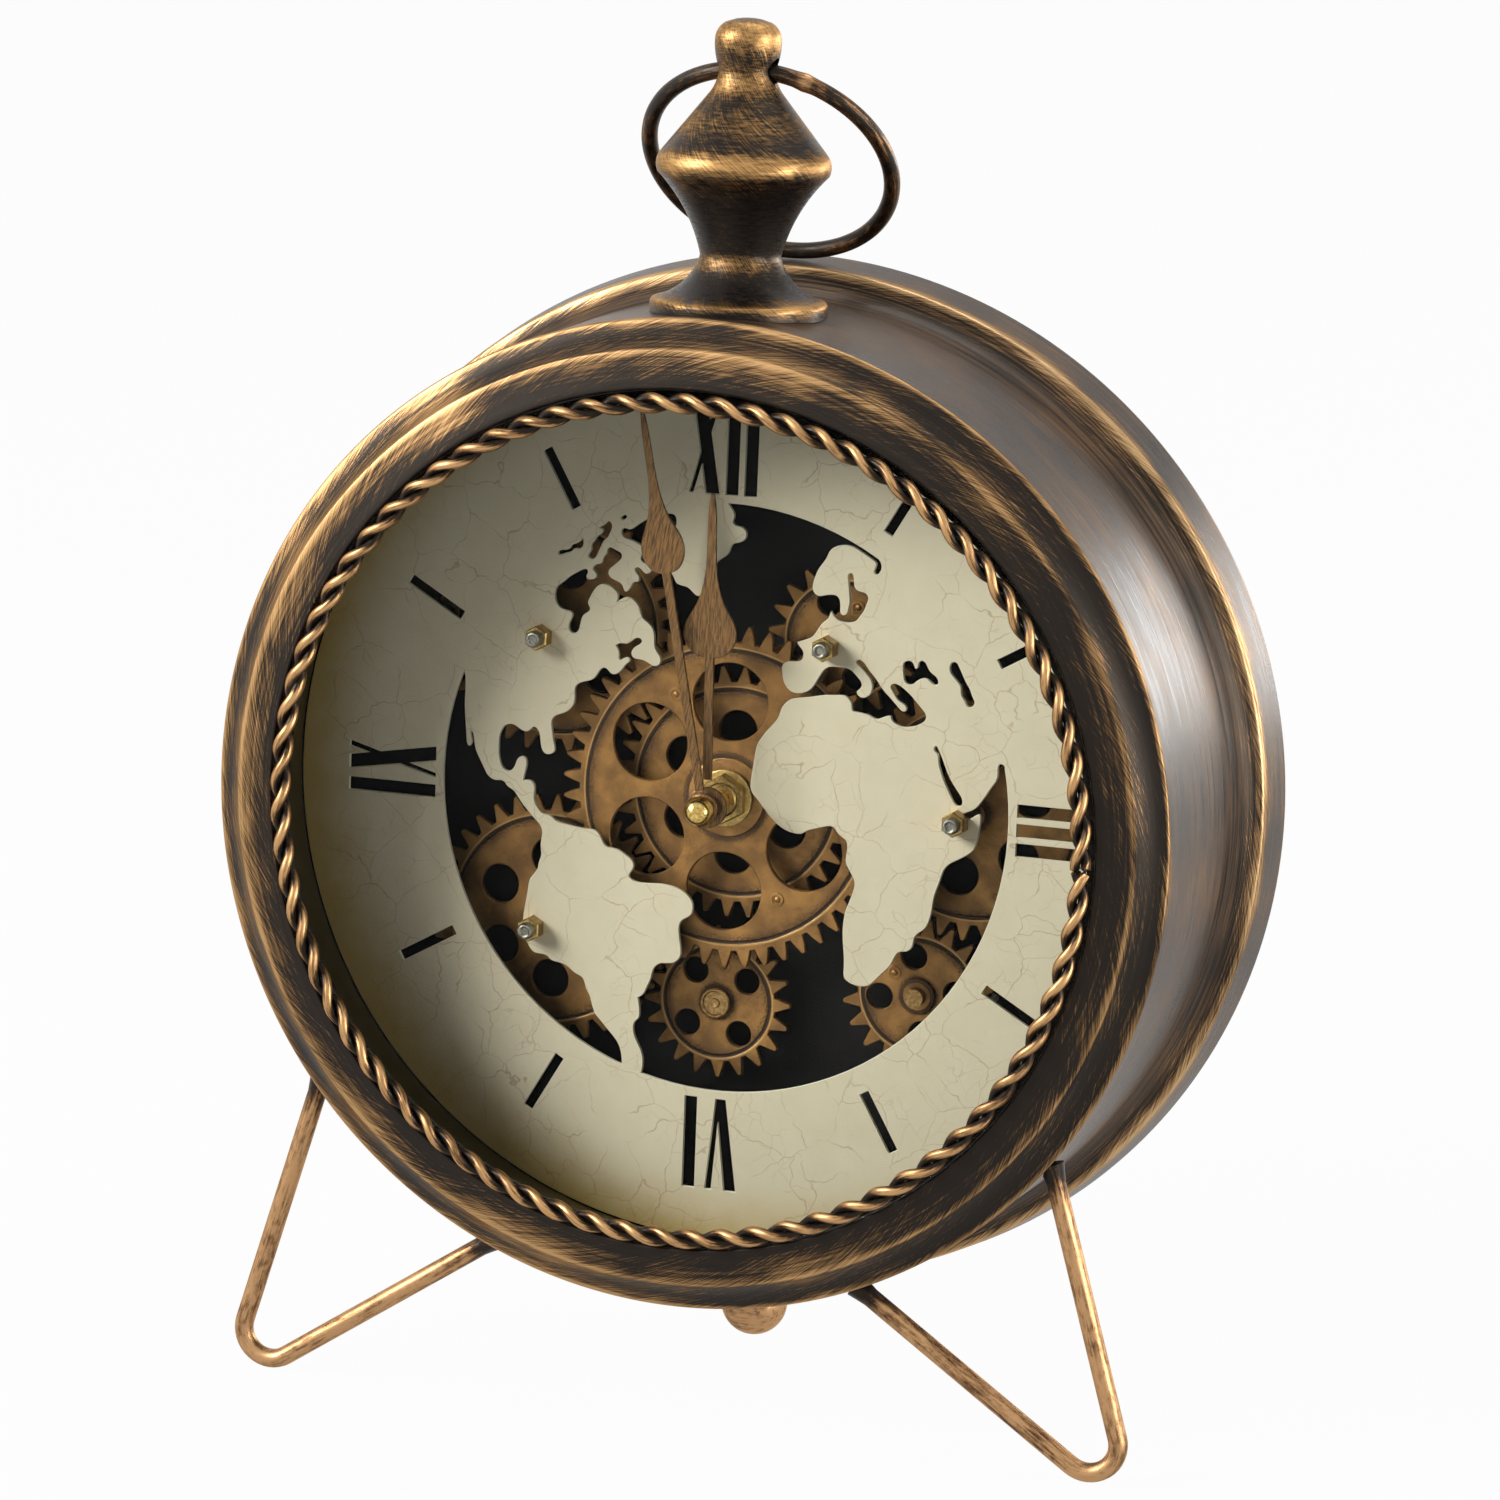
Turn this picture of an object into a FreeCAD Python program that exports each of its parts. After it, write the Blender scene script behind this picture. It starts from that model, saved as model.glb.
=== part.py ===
import FreeCAD, Part
import math
import os

V = FreeCAD.Vector
AXIS_X = V(1, 0, 0)
AXIS_Y = V(0, 1, 0)
AXIS_Z = V(0, 0, 1)

# Table clock with a leaning round drum, a pierced map dial and a train of turning gears.
# Every piece is drawn in the drum's own axes: the origin is the centre of the dial's front
# face, x runs to the right, y into the drum and z towards twelve. At the end all pieces are
# leaned back together and lifted, so that the clock stands on z = 0 in its own frame.
# All sizes are millimetres.
LEAN_DEG = 5.0

# Gears: two sizes in mesh, and one larger wheel in front of them that meshes with nothing
MODULE = 1.8
LARGE_TEETH = 34
SMALL_TEETH = 20
ADDENDUM = 1.4
DEDENDUM = 2.6
TOOTH_ROOT_WIDTH = 3.6
TOOTH_TIP_WIDTH = 1.0
GEAR_THICK = 1.6
CENTRE_TOOTH_DEG = 3.0
LARGE_HOLE_RADIUS = 5.0
LARGE_HOLE_CIRCLE = 15.8
LARGE_HOLES = 6
SMALL_HOLE_RADIUS = 3.3
SMALL_HOLE_CIRCLE = 9.8
SMALL_HOLES = 4
GEAR_HUB_RADIUS = 3.5
GEAR_HUB_RISE = 1.0
RUNNING_CLEARANCE = 0.05
END_PLAY = 0.3

# Places of the gears round the wheel that each one meshes with, in degrees from +x
UPPER_LEFT_DEG = 142.8
LEFT_DEG = 217.6
RIGHT_DEG = 0.5
TOP_RIGHT_DEG = 57.2
BOTTOM_DEG = -20.3
LOWER_RIGHT_DEG = -104.0
HOLE_DEG = {
    "centre_gear_rear": 30.0,
    "upper_left_gear": 20.0,
    "left_gear": 31.5,
    "right_gear": 20.0,
    "top_right_gear": 22.0,
    "bottom_gear": 38.0,
    "lower_right_gear": 7.5,
}

# Axle pins through the dial, with their nuts and spacers
PIN_RADIUS = 1.5
PIN_HEAD_RADIUS = 2.1
PIN_HEAD_LENGTH = 2.5
PIN_PEEN_RADIUS = 2.6
PIN_PEEN_LENGTH = 0.8
DIAL_NUT_ACROSS = 5.5
DIAL_NUT_THICK = 4.0
SPACER_RADIUS = 2.6
STUB_HEAD_RADIUS = 4.0
STUB_HEAD_THICK = 0.8

# Front wheel of the centre pair, which clears the nearest axle's spacer
FRONT_TEETH = 50
FRONT_TIP_GAP = 2.6
FRONT_TIP_RADIUS = MODULE * (LARGE_TEETH + SMALL_TEETH) / 2 - SPACER_RADIUS - FRONT_TIP_GAP
FRONT_TOOTH_DEPTH = 4.2
FRONT_ROOT_RADIUS = FRONT_TIP_RADIUS - FRONT_TOOTH_DEPTH
FRONT_MID_WIDTH = 2.5
FRONT_TOOTH_DEG = 4.9
FRONT_HOLE_RADIUS = 9.9
FRONT_HOLE_CIRCLE = 24.0
FRONT_HOLES = 6
FRONT_HOLE_DEG = 30.0
FRONT_BOSS_RADIUS = 10.0
FRONT_BOSS_RISE = 0.5

# Depths of the wheels and of the plate behind the dial
FRONT_GEAR_Y = 5.0
GEAR_GAP = 5.4
REAR_GEAR_Y = FRONT_GEAR_Y + GEAR_THICK + GEAR_GAP
PLATE_GAP = 6.4
PLATE_Y = REAR_GEAR_Y + GEAR_THICK + PLATE_GAP
PLATE_THICK = 1.5

# Pierced dial, each ring of it laid outside the last: map, numerals and bars, plain rim
DIAL_THICK = 1.0
MAP_AXLE_MARGIN = 12.8
MAP_RADIUS = MODULE * LARGE_TEETH + MAP_AXLE_MARGIN
NUMERAL_MAP_GAP = 2.0
NUMERAL_INNER_RADIUS = MAP_RADIUS + NUMERAL_MAP_GAP
NUMERAL_HEIGHT = 22.9
TICK_INSET = 4.5
TICK_INNER_RADIUS = NUMERAL_INNER_RADIUS + TICK_INSET
TICK_LENGTH = 16.0
TICK_WIDTH = 2.5
HOURS = 12
DIAL_RIM_WIDTH = 12.5
DIAL_RADIUS = NUMERAL_INNER_RADIUS + NUMERAL_HEIGHT + DIAL_RIM_WIDTH

# Drum sheet, from the front lip to the rear flange: radii step outwards from the dial's
# edge, and depths run back from the front lip
SHEET = 1.2
LIP_COVER = 5.7
FRONT_LIP_RADIUS = DIAL_RADIUS - LIP_COVER
FRONT_LIP_Y = -35.6
FRONT_LIP_DEPTH = 4.4
FRONT_FACE_WIDTH = 9.8
FRONT_CREST_RADIUS = FRONT_LIP_RADIUS + FRONT_FACE_WIDTH
FRONT_FACE_DEPTH = 1.6
FRONT_CREST_Y = FRONT_LIP_Y + FRONT_FACE_DEPTH
FRONT_COVE_RISE = 7.1
SIDE_CREST_RADIUS = FRONT_CREST_RADIUS + FRONT_COVE_RISE
FRONT_COVE_DEPTH = 5.2
SIDE_CREST_Y = FRONT_CREST_Y + FRONT_COVE_DEPTH
FRONT_COVE_SAG = 1.5
SIDE_STEP = 0.6
BAND_FRONT_RADIUS = SIDE_CREST_RADIUS - SIDE_STEP
SIDE_STEP_DEPTH = 1.2
BAND_FRONT_Y = SIDE_CREST_Y + SIDE_STEP_DEPTH
BAND_FLARE = 1.8
BAND_REAR_RADIUS = BAND_FRONT_RADIUS + BAND_FLARE
BAND_DEPTH = 53.3
BAND_REAR_Y = BAND_FRONT_Y + BAND_DEPTH
REAR_COVE_RISE = 6.5
REAR_CREST_RADIUS = BAND_REAR_RADIUS + REAR_COVE_RISE
REAR_COVE_DEPTH = 7.8
REAR_CREST_Y = BAND_REAR_Y + REAR_COVE_DEPTH
REAR_COVE_SAG = 1.5
REAR_EDGE_RISE = 1.9
REAR_EDGE_RADIUS = REAR_CREST_RADIUS + REAR_EDGE_RISE
REAR_CREST_DEPTH = 14.0
REAR_EDGE_Y = REAR_CREST_Y + REAR_CREST_DEPTH
REAR_ROUND_RADIUS = 3.0
REAR_FLANGE_WIDTH = 6.2
REAR_FLANGE_RADIUS = REAR_EDGE_RADIUS - REAR_FLANGE_WIDTH
LUG_WIDTH = 12.0
LUG_THICK = 1.5
LUG_END = 3.5

# Plate behind the gears, screwed to lugs in the drum
PLATE_CLEARANCE = 0.8
PLATE_RADIUS = BAND_REAR_RADIUS - SHEET - PLATE_CLEARANCE
PLATE_SCREW_COUNT = 4
PLATE_SCREW_INSET = 6.3
PLATE_SCREW_CIRCLE = PLATE_RADIUS - PLATE_SCREW_INSET

# Back cover, screwed to lugs inside the rear flange
COVER_CLEARANCE = 0.4
COVER_RADIUS = REAR_FLANGE_RADIUS - COVER_CLEARANCE
COVER_INSET = 0.5
COVER_Y = REAR_EDGE_Y - COVER_INSET
COVER_THICK = 1.5
COVER_SCREW_COUNT = 6
COVER_SCREW_INSET = 5.1
COVER_SCREW_CIRCLE = COVER_RADIUS - COVER_SCREW_INSET
WINDOW_MARGIN = 5.0
SCREW_RADIUS = 1.5
SCREW_HEAD_RADIUS = 2.8
SCREW_HEAD_HEIGHT = 1.7

# Cone between the glass and the dial, glass and rope trim
CONE_LEDGE_WIDTH = 2.7
CONE_LEDGE_RADIUS = FRONT_LIP_RADIUS - CONE_LEDGE_WIDTH
CONE_LEDGE_THICK = 1.2
CONE_WALL = 1.2
CONE_REAR_DEPTH = 1.2
DIAL_CLEARANCE = 0.3
GLASS_CLEARANCE = 0.3
GLASS_RADIUS = FRONT_LIP_RADIUS - GLASS_CLEARANCE
GLASS_THICK = 2.5
ROPE_RADIUS = 2.6
ROPE_GAP = 0.3
ROPE_RING_RADIUS = FRONT_LIP_RADIUS - ROPE_GAP - ROPE_RADIUS

# Gear motor on the rear of the plate
MOTOR_RADIUS = 12.5
MOTOR_LENGTH = 15.0
MOTOR_SHAFT_RADIUS = 2.3
MOTOR_SHAFT_REACH = 2.6
MOTOR_SHAFT_SEAT = 3.0
MOTOR_HUB_RADIUS = 4.5
MOTOR_EAR_REACH = 4.5
MOTOR_EAR_SPAN = MOTOR_RADIUS + MOTOR_EAR_REACH
MOTOR_EAR_WIDTH = 8.0
MOTOR_EAR_THICK = 1.5
MOTOR_SCREW_RADIUS = 1.0
MOTOR_SCREW_HEAD_RADIUS = 2.0
MOTOR_SCREW_HEAD = 1.3

# Centre stack: bush, washer, nut and sleeve
BUSH_RADIUS = 4.0
BUSH_FRONT_Y = 0.0
HUB_NUT_ACROSS = 11.0
HUB_NUT_THICK = 2.6
HUB_WASHER_RADIUS = 7.2
HUB_WASHER_THICK = 1.0
SLEEVE_RADIUS = 6.0

# Hands, which point into the ring of numerals
HOUR_TUBE_RADIUS = 2.5
MINUTE_SHAFT_RADIUS = 1.6
HAND_THICK = 0.8
HAND_STEM_WIDTH = 2.3
BOSS_RISE = 0.2
HOUR_HAND_Y = -10.4
HOUR_BOSS_RADIUS = 7.0
HOUR_OVERREACH = 3.6
HOUR_TIP = MAP_RADIUS + HOUR_OVERREACH
HOUR_BLADE_LENGTH = 40.1
HOUR_BULGE_BASE = HOUR_TIP - HOUR_BLADE_LENGTH
HOUR_BULGE_WIDTH = 13.5
HOUR_HAND_DEG = 1.0
HAND_STEP = 3.0
MINUTE_HAND_Y = HOUR_HAND_Y - HAND_STEP
MINUTE_BOSS_RADIUS = 4.9
MINUTE_COLLET_RADIUS = 2.4
MINUTE_COLLET_LENGTH = 1.4
MINUTE_TIP_INSET = 12.4
MINUTE_TIP = DIAL_RADIUS - MINUTE_TIP_INSET
MINUTE_BLADE_LENGTH = 40.0
MINUTE_BULGE_BASE = MINUTE_TIP - MINUTE_BLADE_LENGTH
MINUTE_BULGE_WIDTH = 11.0
MINUTE_HAND_DEG = 11.3
CAP_BALL_RADIUS = 3.8
CAP_BALL_LIFT = 2.4
CAP_BORE_DEPTH = 1.4

# Dry cells with their contacts, and the quartz movement built round one of them
CELL_RADIUS = 7.1
CELL_LENGTH = 49.5
CELL_NUB_RADIUS = 2.7
CELL_NUB_LENGTH = 1.2
CONTACT_THICK = 0.5
CONTACT_WIDTH = 9.0
CELL_STACK_LENGTH = CELL_LENGTH + CELL_NUB_LENGTH + 2 * CONTACT_THICK
TROUGH_FLOOR = 1.2
TROUGH_END_ROOM = 1.3
TROUGH_LENGTH = CELL_STACK_LENGTH + TROUGH_END_ROOM
TROUGH_SIDE_ROOM = 1.4
TROUGH_HEIGHT = 2 * CELL_RADIUS + TROUGH_SIDE_ROOM
MOVEMENT_WALL = 1.5
MOVEMENT_WIDTH = TROUGH_LENGTH + 2 * MOVEMENT_WALL
TROUGH_MARGIN = 4.2
TROUGH_DROP = (MOVEMENT_WIDTH - TROUGH_HEIGHT) / 2 - TROUGH_MARGIN
MOVEMENT_DEPTH = TROUGH_FLOOR + 2 * CELL_RADIUS + 2 * END_PLAY
MOVEMENT_CORNER = 3.0
MOVEMENT_BORE_DEPTH = 6.0
KNOB_RADIUS = 6.5
KNOB_THICK = 4.5
KNOB_SHAFT_RADIUS = 1.5
KNOB_SHAFT_SEAT = 4.5

# Battery box of the gear motor, below the bottom axle, with its lid and switch
BOX_WALL = 1.4
BOX_END_ROOM = 7.5
BOX_LENGTH = CELL_STACK_LENGTH + BOX_END_ROOM + 2 * BOX_WALL
BOX_SIDE_ROOM = 4.8
BOX_HEIGHT = 4 * CELL_RADIUS + BOX_SIDE_ROOM + 2 * BOX_WALL
BOX_DEPTH = MOVEMENT_DEPTH
BOX_X = -10.0
BOX_AXLE_GAP = 7.8
LID_THICK = 1.4
LID_TRAVEL = 12.0
SWITCH_POD = 10.0
SWITCH_WIDTH = 3.0
SWITCH_LENGTH = 5.0
SWITCH_TRAVEL = 3.5
SWITCH_RISE = 1.5
SWITCH_SLOT_DEPTH = 3.0

# Bail ring through the finial's neck
RING_RADIUS = 31.0
RING_WIRE_RADIUS = 2.05
RING_HOLE_GAP = 0.28
RING_REST_GAP = 0.3
RING_SETTLE_STEPS = 48

# Finial, turned, as radius and height above the drum's side
FINIAL_RIM_RADIUS = 21.8
FINIAL_RIM_HEIGHT = 1.6
FINIAL_RIM_ROUND = 1.3
FINIAL_WAIST_RADIUS = 9.9
FINIAL_WAIST_HEIGHT = 13.4
FINIAL_SHOULDER_RADIUS = 21.4
FINIAL_SHOULDER_HEIGHT = 35.8
FINIAL_CREASE_INSET = 0.4
FINIAL_CREASE_DROP = 2.4
FINIAL_CREASE_RADIUS = FINIAL_SHOULDER_RADIUS - FINIAL_CREASE_INSET
FINIAL_CREASE_HEIGHT = FINIAL_SHOULDER_HEIGHT - FINIAL_CREASE_DROP
FINIAL_CONE_INSET = 1.0
FINIAL_SHOULDER_RISE = 2.6
FINIAL_CONE_RADIUS = FINIAL_SHOULDER_RADIUS - FINIAL_CONE_INSET
FINIAL_CONE_HEIGHT = FINIAL_SHOULDER_HEIGHT + FINIAL_SHOULDER_RISE
FINIAL_NECK_RADIUS = 6.9
FINIAL_THROAT_STEP = 2.5
FINIAL_CONE_RISE = 13.9
FINIAL_THROAT_RADIUS = FINIAL_NECK_RADIUS + FINIAL_THROAT_STEP
FINIAL_THROAT_HEIGHT = FINIAL_CONE_HEIGHT + FINIAL_CONE_RISE
FINIAL_THROAT_RISE = 6.3
FINIAL_NECK_HEIGHT = FINIAL_THROAT_HEIGHT + FINIAL_THROAT_RISE
FINIAL_BALL_STEP = 1.25
FINIAL_BALL_RADIUS = FINIAL_NECK_RADIUS + FINIAL_BALL_STEP
FINIAL_BALL_RISE = 12.4
FINIAL_TOP_HEIGHT = FINIAL_NECK_HEIGHT + FINIAL_BALL_RISE
WELD_GAP = 0.05

# Wire legs and the ball foot: places round the drum's axis in degrees from +x
LEG_WIRE_RADIUS = 2.4
LEG_INSET = 5.0
LEG_Y = BAND_FRONT_Y + LEG_INSET
LEG_SINK = 2.0
LEG_OUTER_DEG = -37.9
LEG_INNER_DEG = -67.85
LEG_REACH = 80.8
LEG_CORNER_DEG = -53.27
LEG_BEND_RADIUS = 7.5
BALL_FOOT_INSET = 5.1
BALL_FOOT_Y = REAR_EDGE_Y - BALL_FOOT_INSET

# Coast lines, as (x, z) shares of the map radius. Each list is one smooth stretch, and a
# corner of the coast lies between two stretches; a stretch begins where the last one ended.
PACIFIC_START_SHARE = (-0.933, 0.360)
PACIFIC_COAST_SHARES = (
    ((-0.928, 0.330), (-0.928, 0.287), (-0.929, 0.242), (-0.925, 0.186), (-0.919, 0.123),
     (-0.915, 0.106), (-0.908, 0.100), (-0.902, 0.106), (-0.902, 0.127), (-0.902, 0.156)),
    ((-0.897, 0.147), (-0.891, 0.121), (-0.885, 0.092), (-0.872, 0.064), (-0.855, 0.034),
     (-0.838, 0.006), (-0.823, -0.005), (-0.808, -0.009), (-0.786, -0.008),
     (-0.776, -0.013), (-0.767, -0.024), (-0.746, -0.036), (-0.730, -0.053),
     (-0.712, -0.077), (-0.688, -0.103), (-0.662, -0.129), (-0.643, -0.148),
     (-0.635, -0.166), (-0.635, -0.190), (-0.638, -0.217), (-0.635, -0.251),
     (-0.642, -0.276), (-0.645, -0.296)),
    ((-0.653, -0.311), (-0.674, -0.342), (-0.678, -0.363), (-0.683, -0.400),
     (-0.690, -0.443), (-0.694, -0.484), (-0.692, -0.520), (-0.676, -0.561),
     (-0.664, -0.580), (-0.651, -0.591), (-0.621, -0.595), (-0.599, -0.601)),
    ((-0.582, -0.614), (-0.550, -0.619), (-0.527, -0.628), (-0.497, -0.649),
     (-0.474, -0.660), (-0.464, -0.675), (-0.457, -0.697), (-0.444, -0.719),
     (-0.438, -0.738), (-0.432, -0.757), (-0.420, -0.784)),
    ((-0.393, -0.812), (-0.361, -0.845), (-0.342, -0.866), (-0.330, -0.886),
     (-0.323, -0.908), (-0.318, -0.948)),
)
OCEAN_WEST_START_SHARE = (-0.248, -0.969)
OCEAN_WEST_SHARES = (
    ((-0.243, -0.935), (-0.249, -0.898), (-0.272, -0.853), (-0.281, -0.806)),
    ((-0.274, -0.791), (-0.264, -0.780), (-0.261, -0.760), (-0.263, -0.737), (-0.269, -0.708)),
    ((-0.247, -0.690), (-0.238, -0.669), (-0.227, -0.644), (-0.214, -0.600), (-0.197, -0.584),
     (-0.169, -0.579), (-0.147, -0.575), (-0.131, -0.564), (-0.121, -0.545),
     (-0.121, -0.525), (-0.130, -0.468), (-0.129, -0.440), (-0.119, -0.424),
     (-0.100, -0.412), (-0.087, -0.398), (-0.083, -0.380), (-0.087, -0.358),
     (-0.109, -0.333), (-0.137, -0.318), (-0.172, -0.310), (-0.203, -0.308),
     (-0.247, -0.311), (-0.279, -0.311), (-0.308, -0.302), (-0.316, -0.292),
     (-0.312, -0.280), (-0.303, -0.266), (-0.301, -0.251), (-0.306, -0.239),
     (-0.320, -0.227), (-0.342, -0.214), (-0.373, -0.203), (-0.398, -0.200),
     (-0.411, -0.189), (-0.422, -0.168), (-0.433, -0.154), (-0.444, -0.148),
     (-0.480, -0.146), (-0.511, -0.143), (-0.549, -0.138), (-0.578, -0.132),
     (-0.592, -0.125), (-0.604, -0.115), (-0.634, -0.108), (-0.650, -0.094),
     (-0.660, -0.080), (-0.667, -0.063), (-0.666, -0.030), (-0.671, -0.007),
     (-0.681, 0.001), (-0.694, 0.002), (-0.708, 0.000)),
    ((-0.702, 0.031), (-0.698, 0.050), (-0.698, 0.065), (-0.702, 0.076), (-0.713, 0.082),
     (-0.725, 0.078), (-0.733, 0.068), (-0.741, 0.046), (-0.749, 0.034), (-0.760, 0.027),
     (-0.772, 0.028), (-0.783, 0.036), (-0.794, 0.055), (-0.800, 0.083), (-0.801, 0.115),
     (-0.798, 0.150), (-0.789, 0.171), (-0.778, 0.184), (-0.764, 0.189), (-0.748, 0.188),
     (-0.727, 0.177), (-0.711, 0.170), (-0.698, 0.170), (-0.688, 0.178), (-0.680, 0.186),
     (-0.672, 0.187), (-0.660, 0.178), (-0.653, 0.162), (-0.650, 0.138), (-0.645, 0.117),
     (-0.636, 0.103), (-0.622, 0.098), (-0.608, 0.102), (-0.599, 0.111), (-0.598, 0.125),
     (-0.603, 0.145), (-0.608, 0.174), (-0.612, 0.205), (-0.610, 0.219), (-0.601, 0.231),
     (-0.585, 0.239), (-0.560, 0.250), (-0.542, 0.267), (-0.533, 0.284), (-0.531, 0.305),
     (-0.532, 0.328), (-0.527, 0.343), (-0.513, 0.354), (-0.490, 0.362), (-0.468, 0.371),
     (-0.455, 0.387), (-0.443, 0.405), (-0.430, 0.413), (-0.418, 0.409), (-0.405, 0.397),
     (-0.392, 0.394), (-0.378, 0.400), (-0.363, 0.416), (-0.347, 0.436), (-0.338, 0.446),
     (-0.342, 0.453), (-0.352, 0.455), (-0.369, 0.444)),
    ((-0.377, 0.449), (-0.378, 0.466), (-0.383, 0.482), (-0.390, 0.492)),
    ((-0.380, 0.500), (-0.365, 0.502), (-0.350, 0.502), (-0.339, 0.509), (-0.326, 0.520),
     (-0.313, 0.525), (-0.302, 0.523), (-0.298, 0.515), (-0.303, 0.506), (-0.317, 0.497),
     (-0.329, 0.485), (-0.334, 0.472), (-0.331, 0.461), (-0.322, 0.455), (-0.306, 0.453),
     (-0.291, 0.451), (-0.270, 0.442), (-0.248, 0.435), (-0.236, 0.440), (-0.229, 0.452),
     (-0.231, 0.467), (-0.244, 0.485), (-0.252, 0.503), (-0.254, 0.530), (-0.257, 0.551),
     (-0.267, 0.569), (-0.284, 0.583), (-0.300, 0.597), (-0.306, 0.613), (-0.312, 0.630),
     (-0.325, 0.646), (-0.341, 0.657), (-0.357, 0.660), (-0.373, 0.654), (-0.393, 0.640)),
    ((-0.388, 0.655), (-0.389, 0.667), (-0.396, 0.677), (-0.415, 0.691), (-0.435, 0.697),
     (-0.456, 0.693), (-0.470, 0.680), (-0.482, 0.661), (-0.491, 0.642), (-0.495, 0.629),
     (-0.490, 0.618), (-0.487, 0.608), (-0.492, 0.599), (-0.508, 0.588), (-0.516, 0.573),
     (-0.521, 0.549), (-0.527, 0.531), (-0.537, 0.522), (-0.548, 0.522), (-0.558, 0.530),
     (-0.561, 0.542), (-0.558, 0.558), (-0.550, 0.577), (-0.550, 0.588), (-0.559, 0.595),
     (-0.575, 0.597), (-0.592, 0.603), (-0.606, 0.617), (-0.613, 0.637), (-0.613, 0.655),
     (-0.607, 0.673), (-0.590, 0.687), (-0.565, 0.709), (-0.537, 0.727), (-0.513, 0.740),
     (-0.503, 0.741), (-0.498, 0.733), (-0.503, 0.719), (-0.500, 0.709), (-0.487, 0.708),
     (-0.472, 0.713), (-0.466, 0.722), (-0.473, 0.735), (-0.480, 0.745), (-0.472, 0.758),
     (-0.449, 0.768), (-0.446, 0.782), (-0.433, 0.800), (-0.430, 0.815), (-0.424, 0.820),
     (-0.400, 0.813), (-0.381, 0.803), (-0.379, 0.795), (-0.388, 0.779), (-0.408, 0.761),
     (-0.422, 0.747), (-0.425, 0.734), (-0.417, 0.722), (-0.399, 0.713), (-0.382, 0.706),
     (-0.373, 0.696), (-0.368, 0.684), (-0.361, 0.677)),
    ((-0.352, 0.684), (-0.342, 0.700), (-0.332, 0.713), (-0.318, 0.716), (-0.315, 0.726),
     (-0.323, 0.742), (-0.331, 0.757), (-0.324, 0.763), (-0.312, 0.760), (-0.302, 0.751),
     (-0.291, 0.745), (-0.279, 0.748), (-0.273, 0.756), (-0.278, 0.769), (-0.293, 0.778),
     (-0.306, 0.784), (-0.311, 0.793), (-0.304, 0.812), (-0.308, 0.832), (-0.326, 0.844),
     (-0.350, 0.852), (-0.376, 0.861), (-0.382, 0.873), (-0.380, 0.884), (-0.373, 0.889),
     (-0.361, 0.887), (-0.347, 0.888), (-0.330, 0.900), (-0.310, 0.914), (-0.285, 0.930),
     (-0.250, 0.943), (-0.212, 0.950), (-0.197, 0.946), (-0.190, 0.931), (-0.193, 0.908),
     (-0.213, 0.875), (-0.238, 0.835), (-0.243, 0.795), (-0.220, 0.765), (-0.197, 0.748),
     (-0.183, 0.724), (-0.164, 0.716), (-0.146, 0.713), (-0.128, 0.701), (-0.110, 0.687),
     (-0.100, 0.686), (-0.086, 0.705), (-0.070, 0.745), (-0.056, 0.785), (-0.040, 0.805),
     (-0.022, 0.819), (-0.005, 0.834), (0.002, 0.850), (0.010, 0.866), (0.030, 0.873),
     (0.050, 0.884), (0.057, 0.899), (0.052, 0.916), (0.039, 0.925), (0.018, 0.929),
     (0.008, 0.940), (0.012, 0.954), (0.009, 0.973), (-0.002, 0.988), (-0.012, 1.000)),
)
OCEAN_EAST_START_SHARE = (0.511, 0.859)
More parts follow.
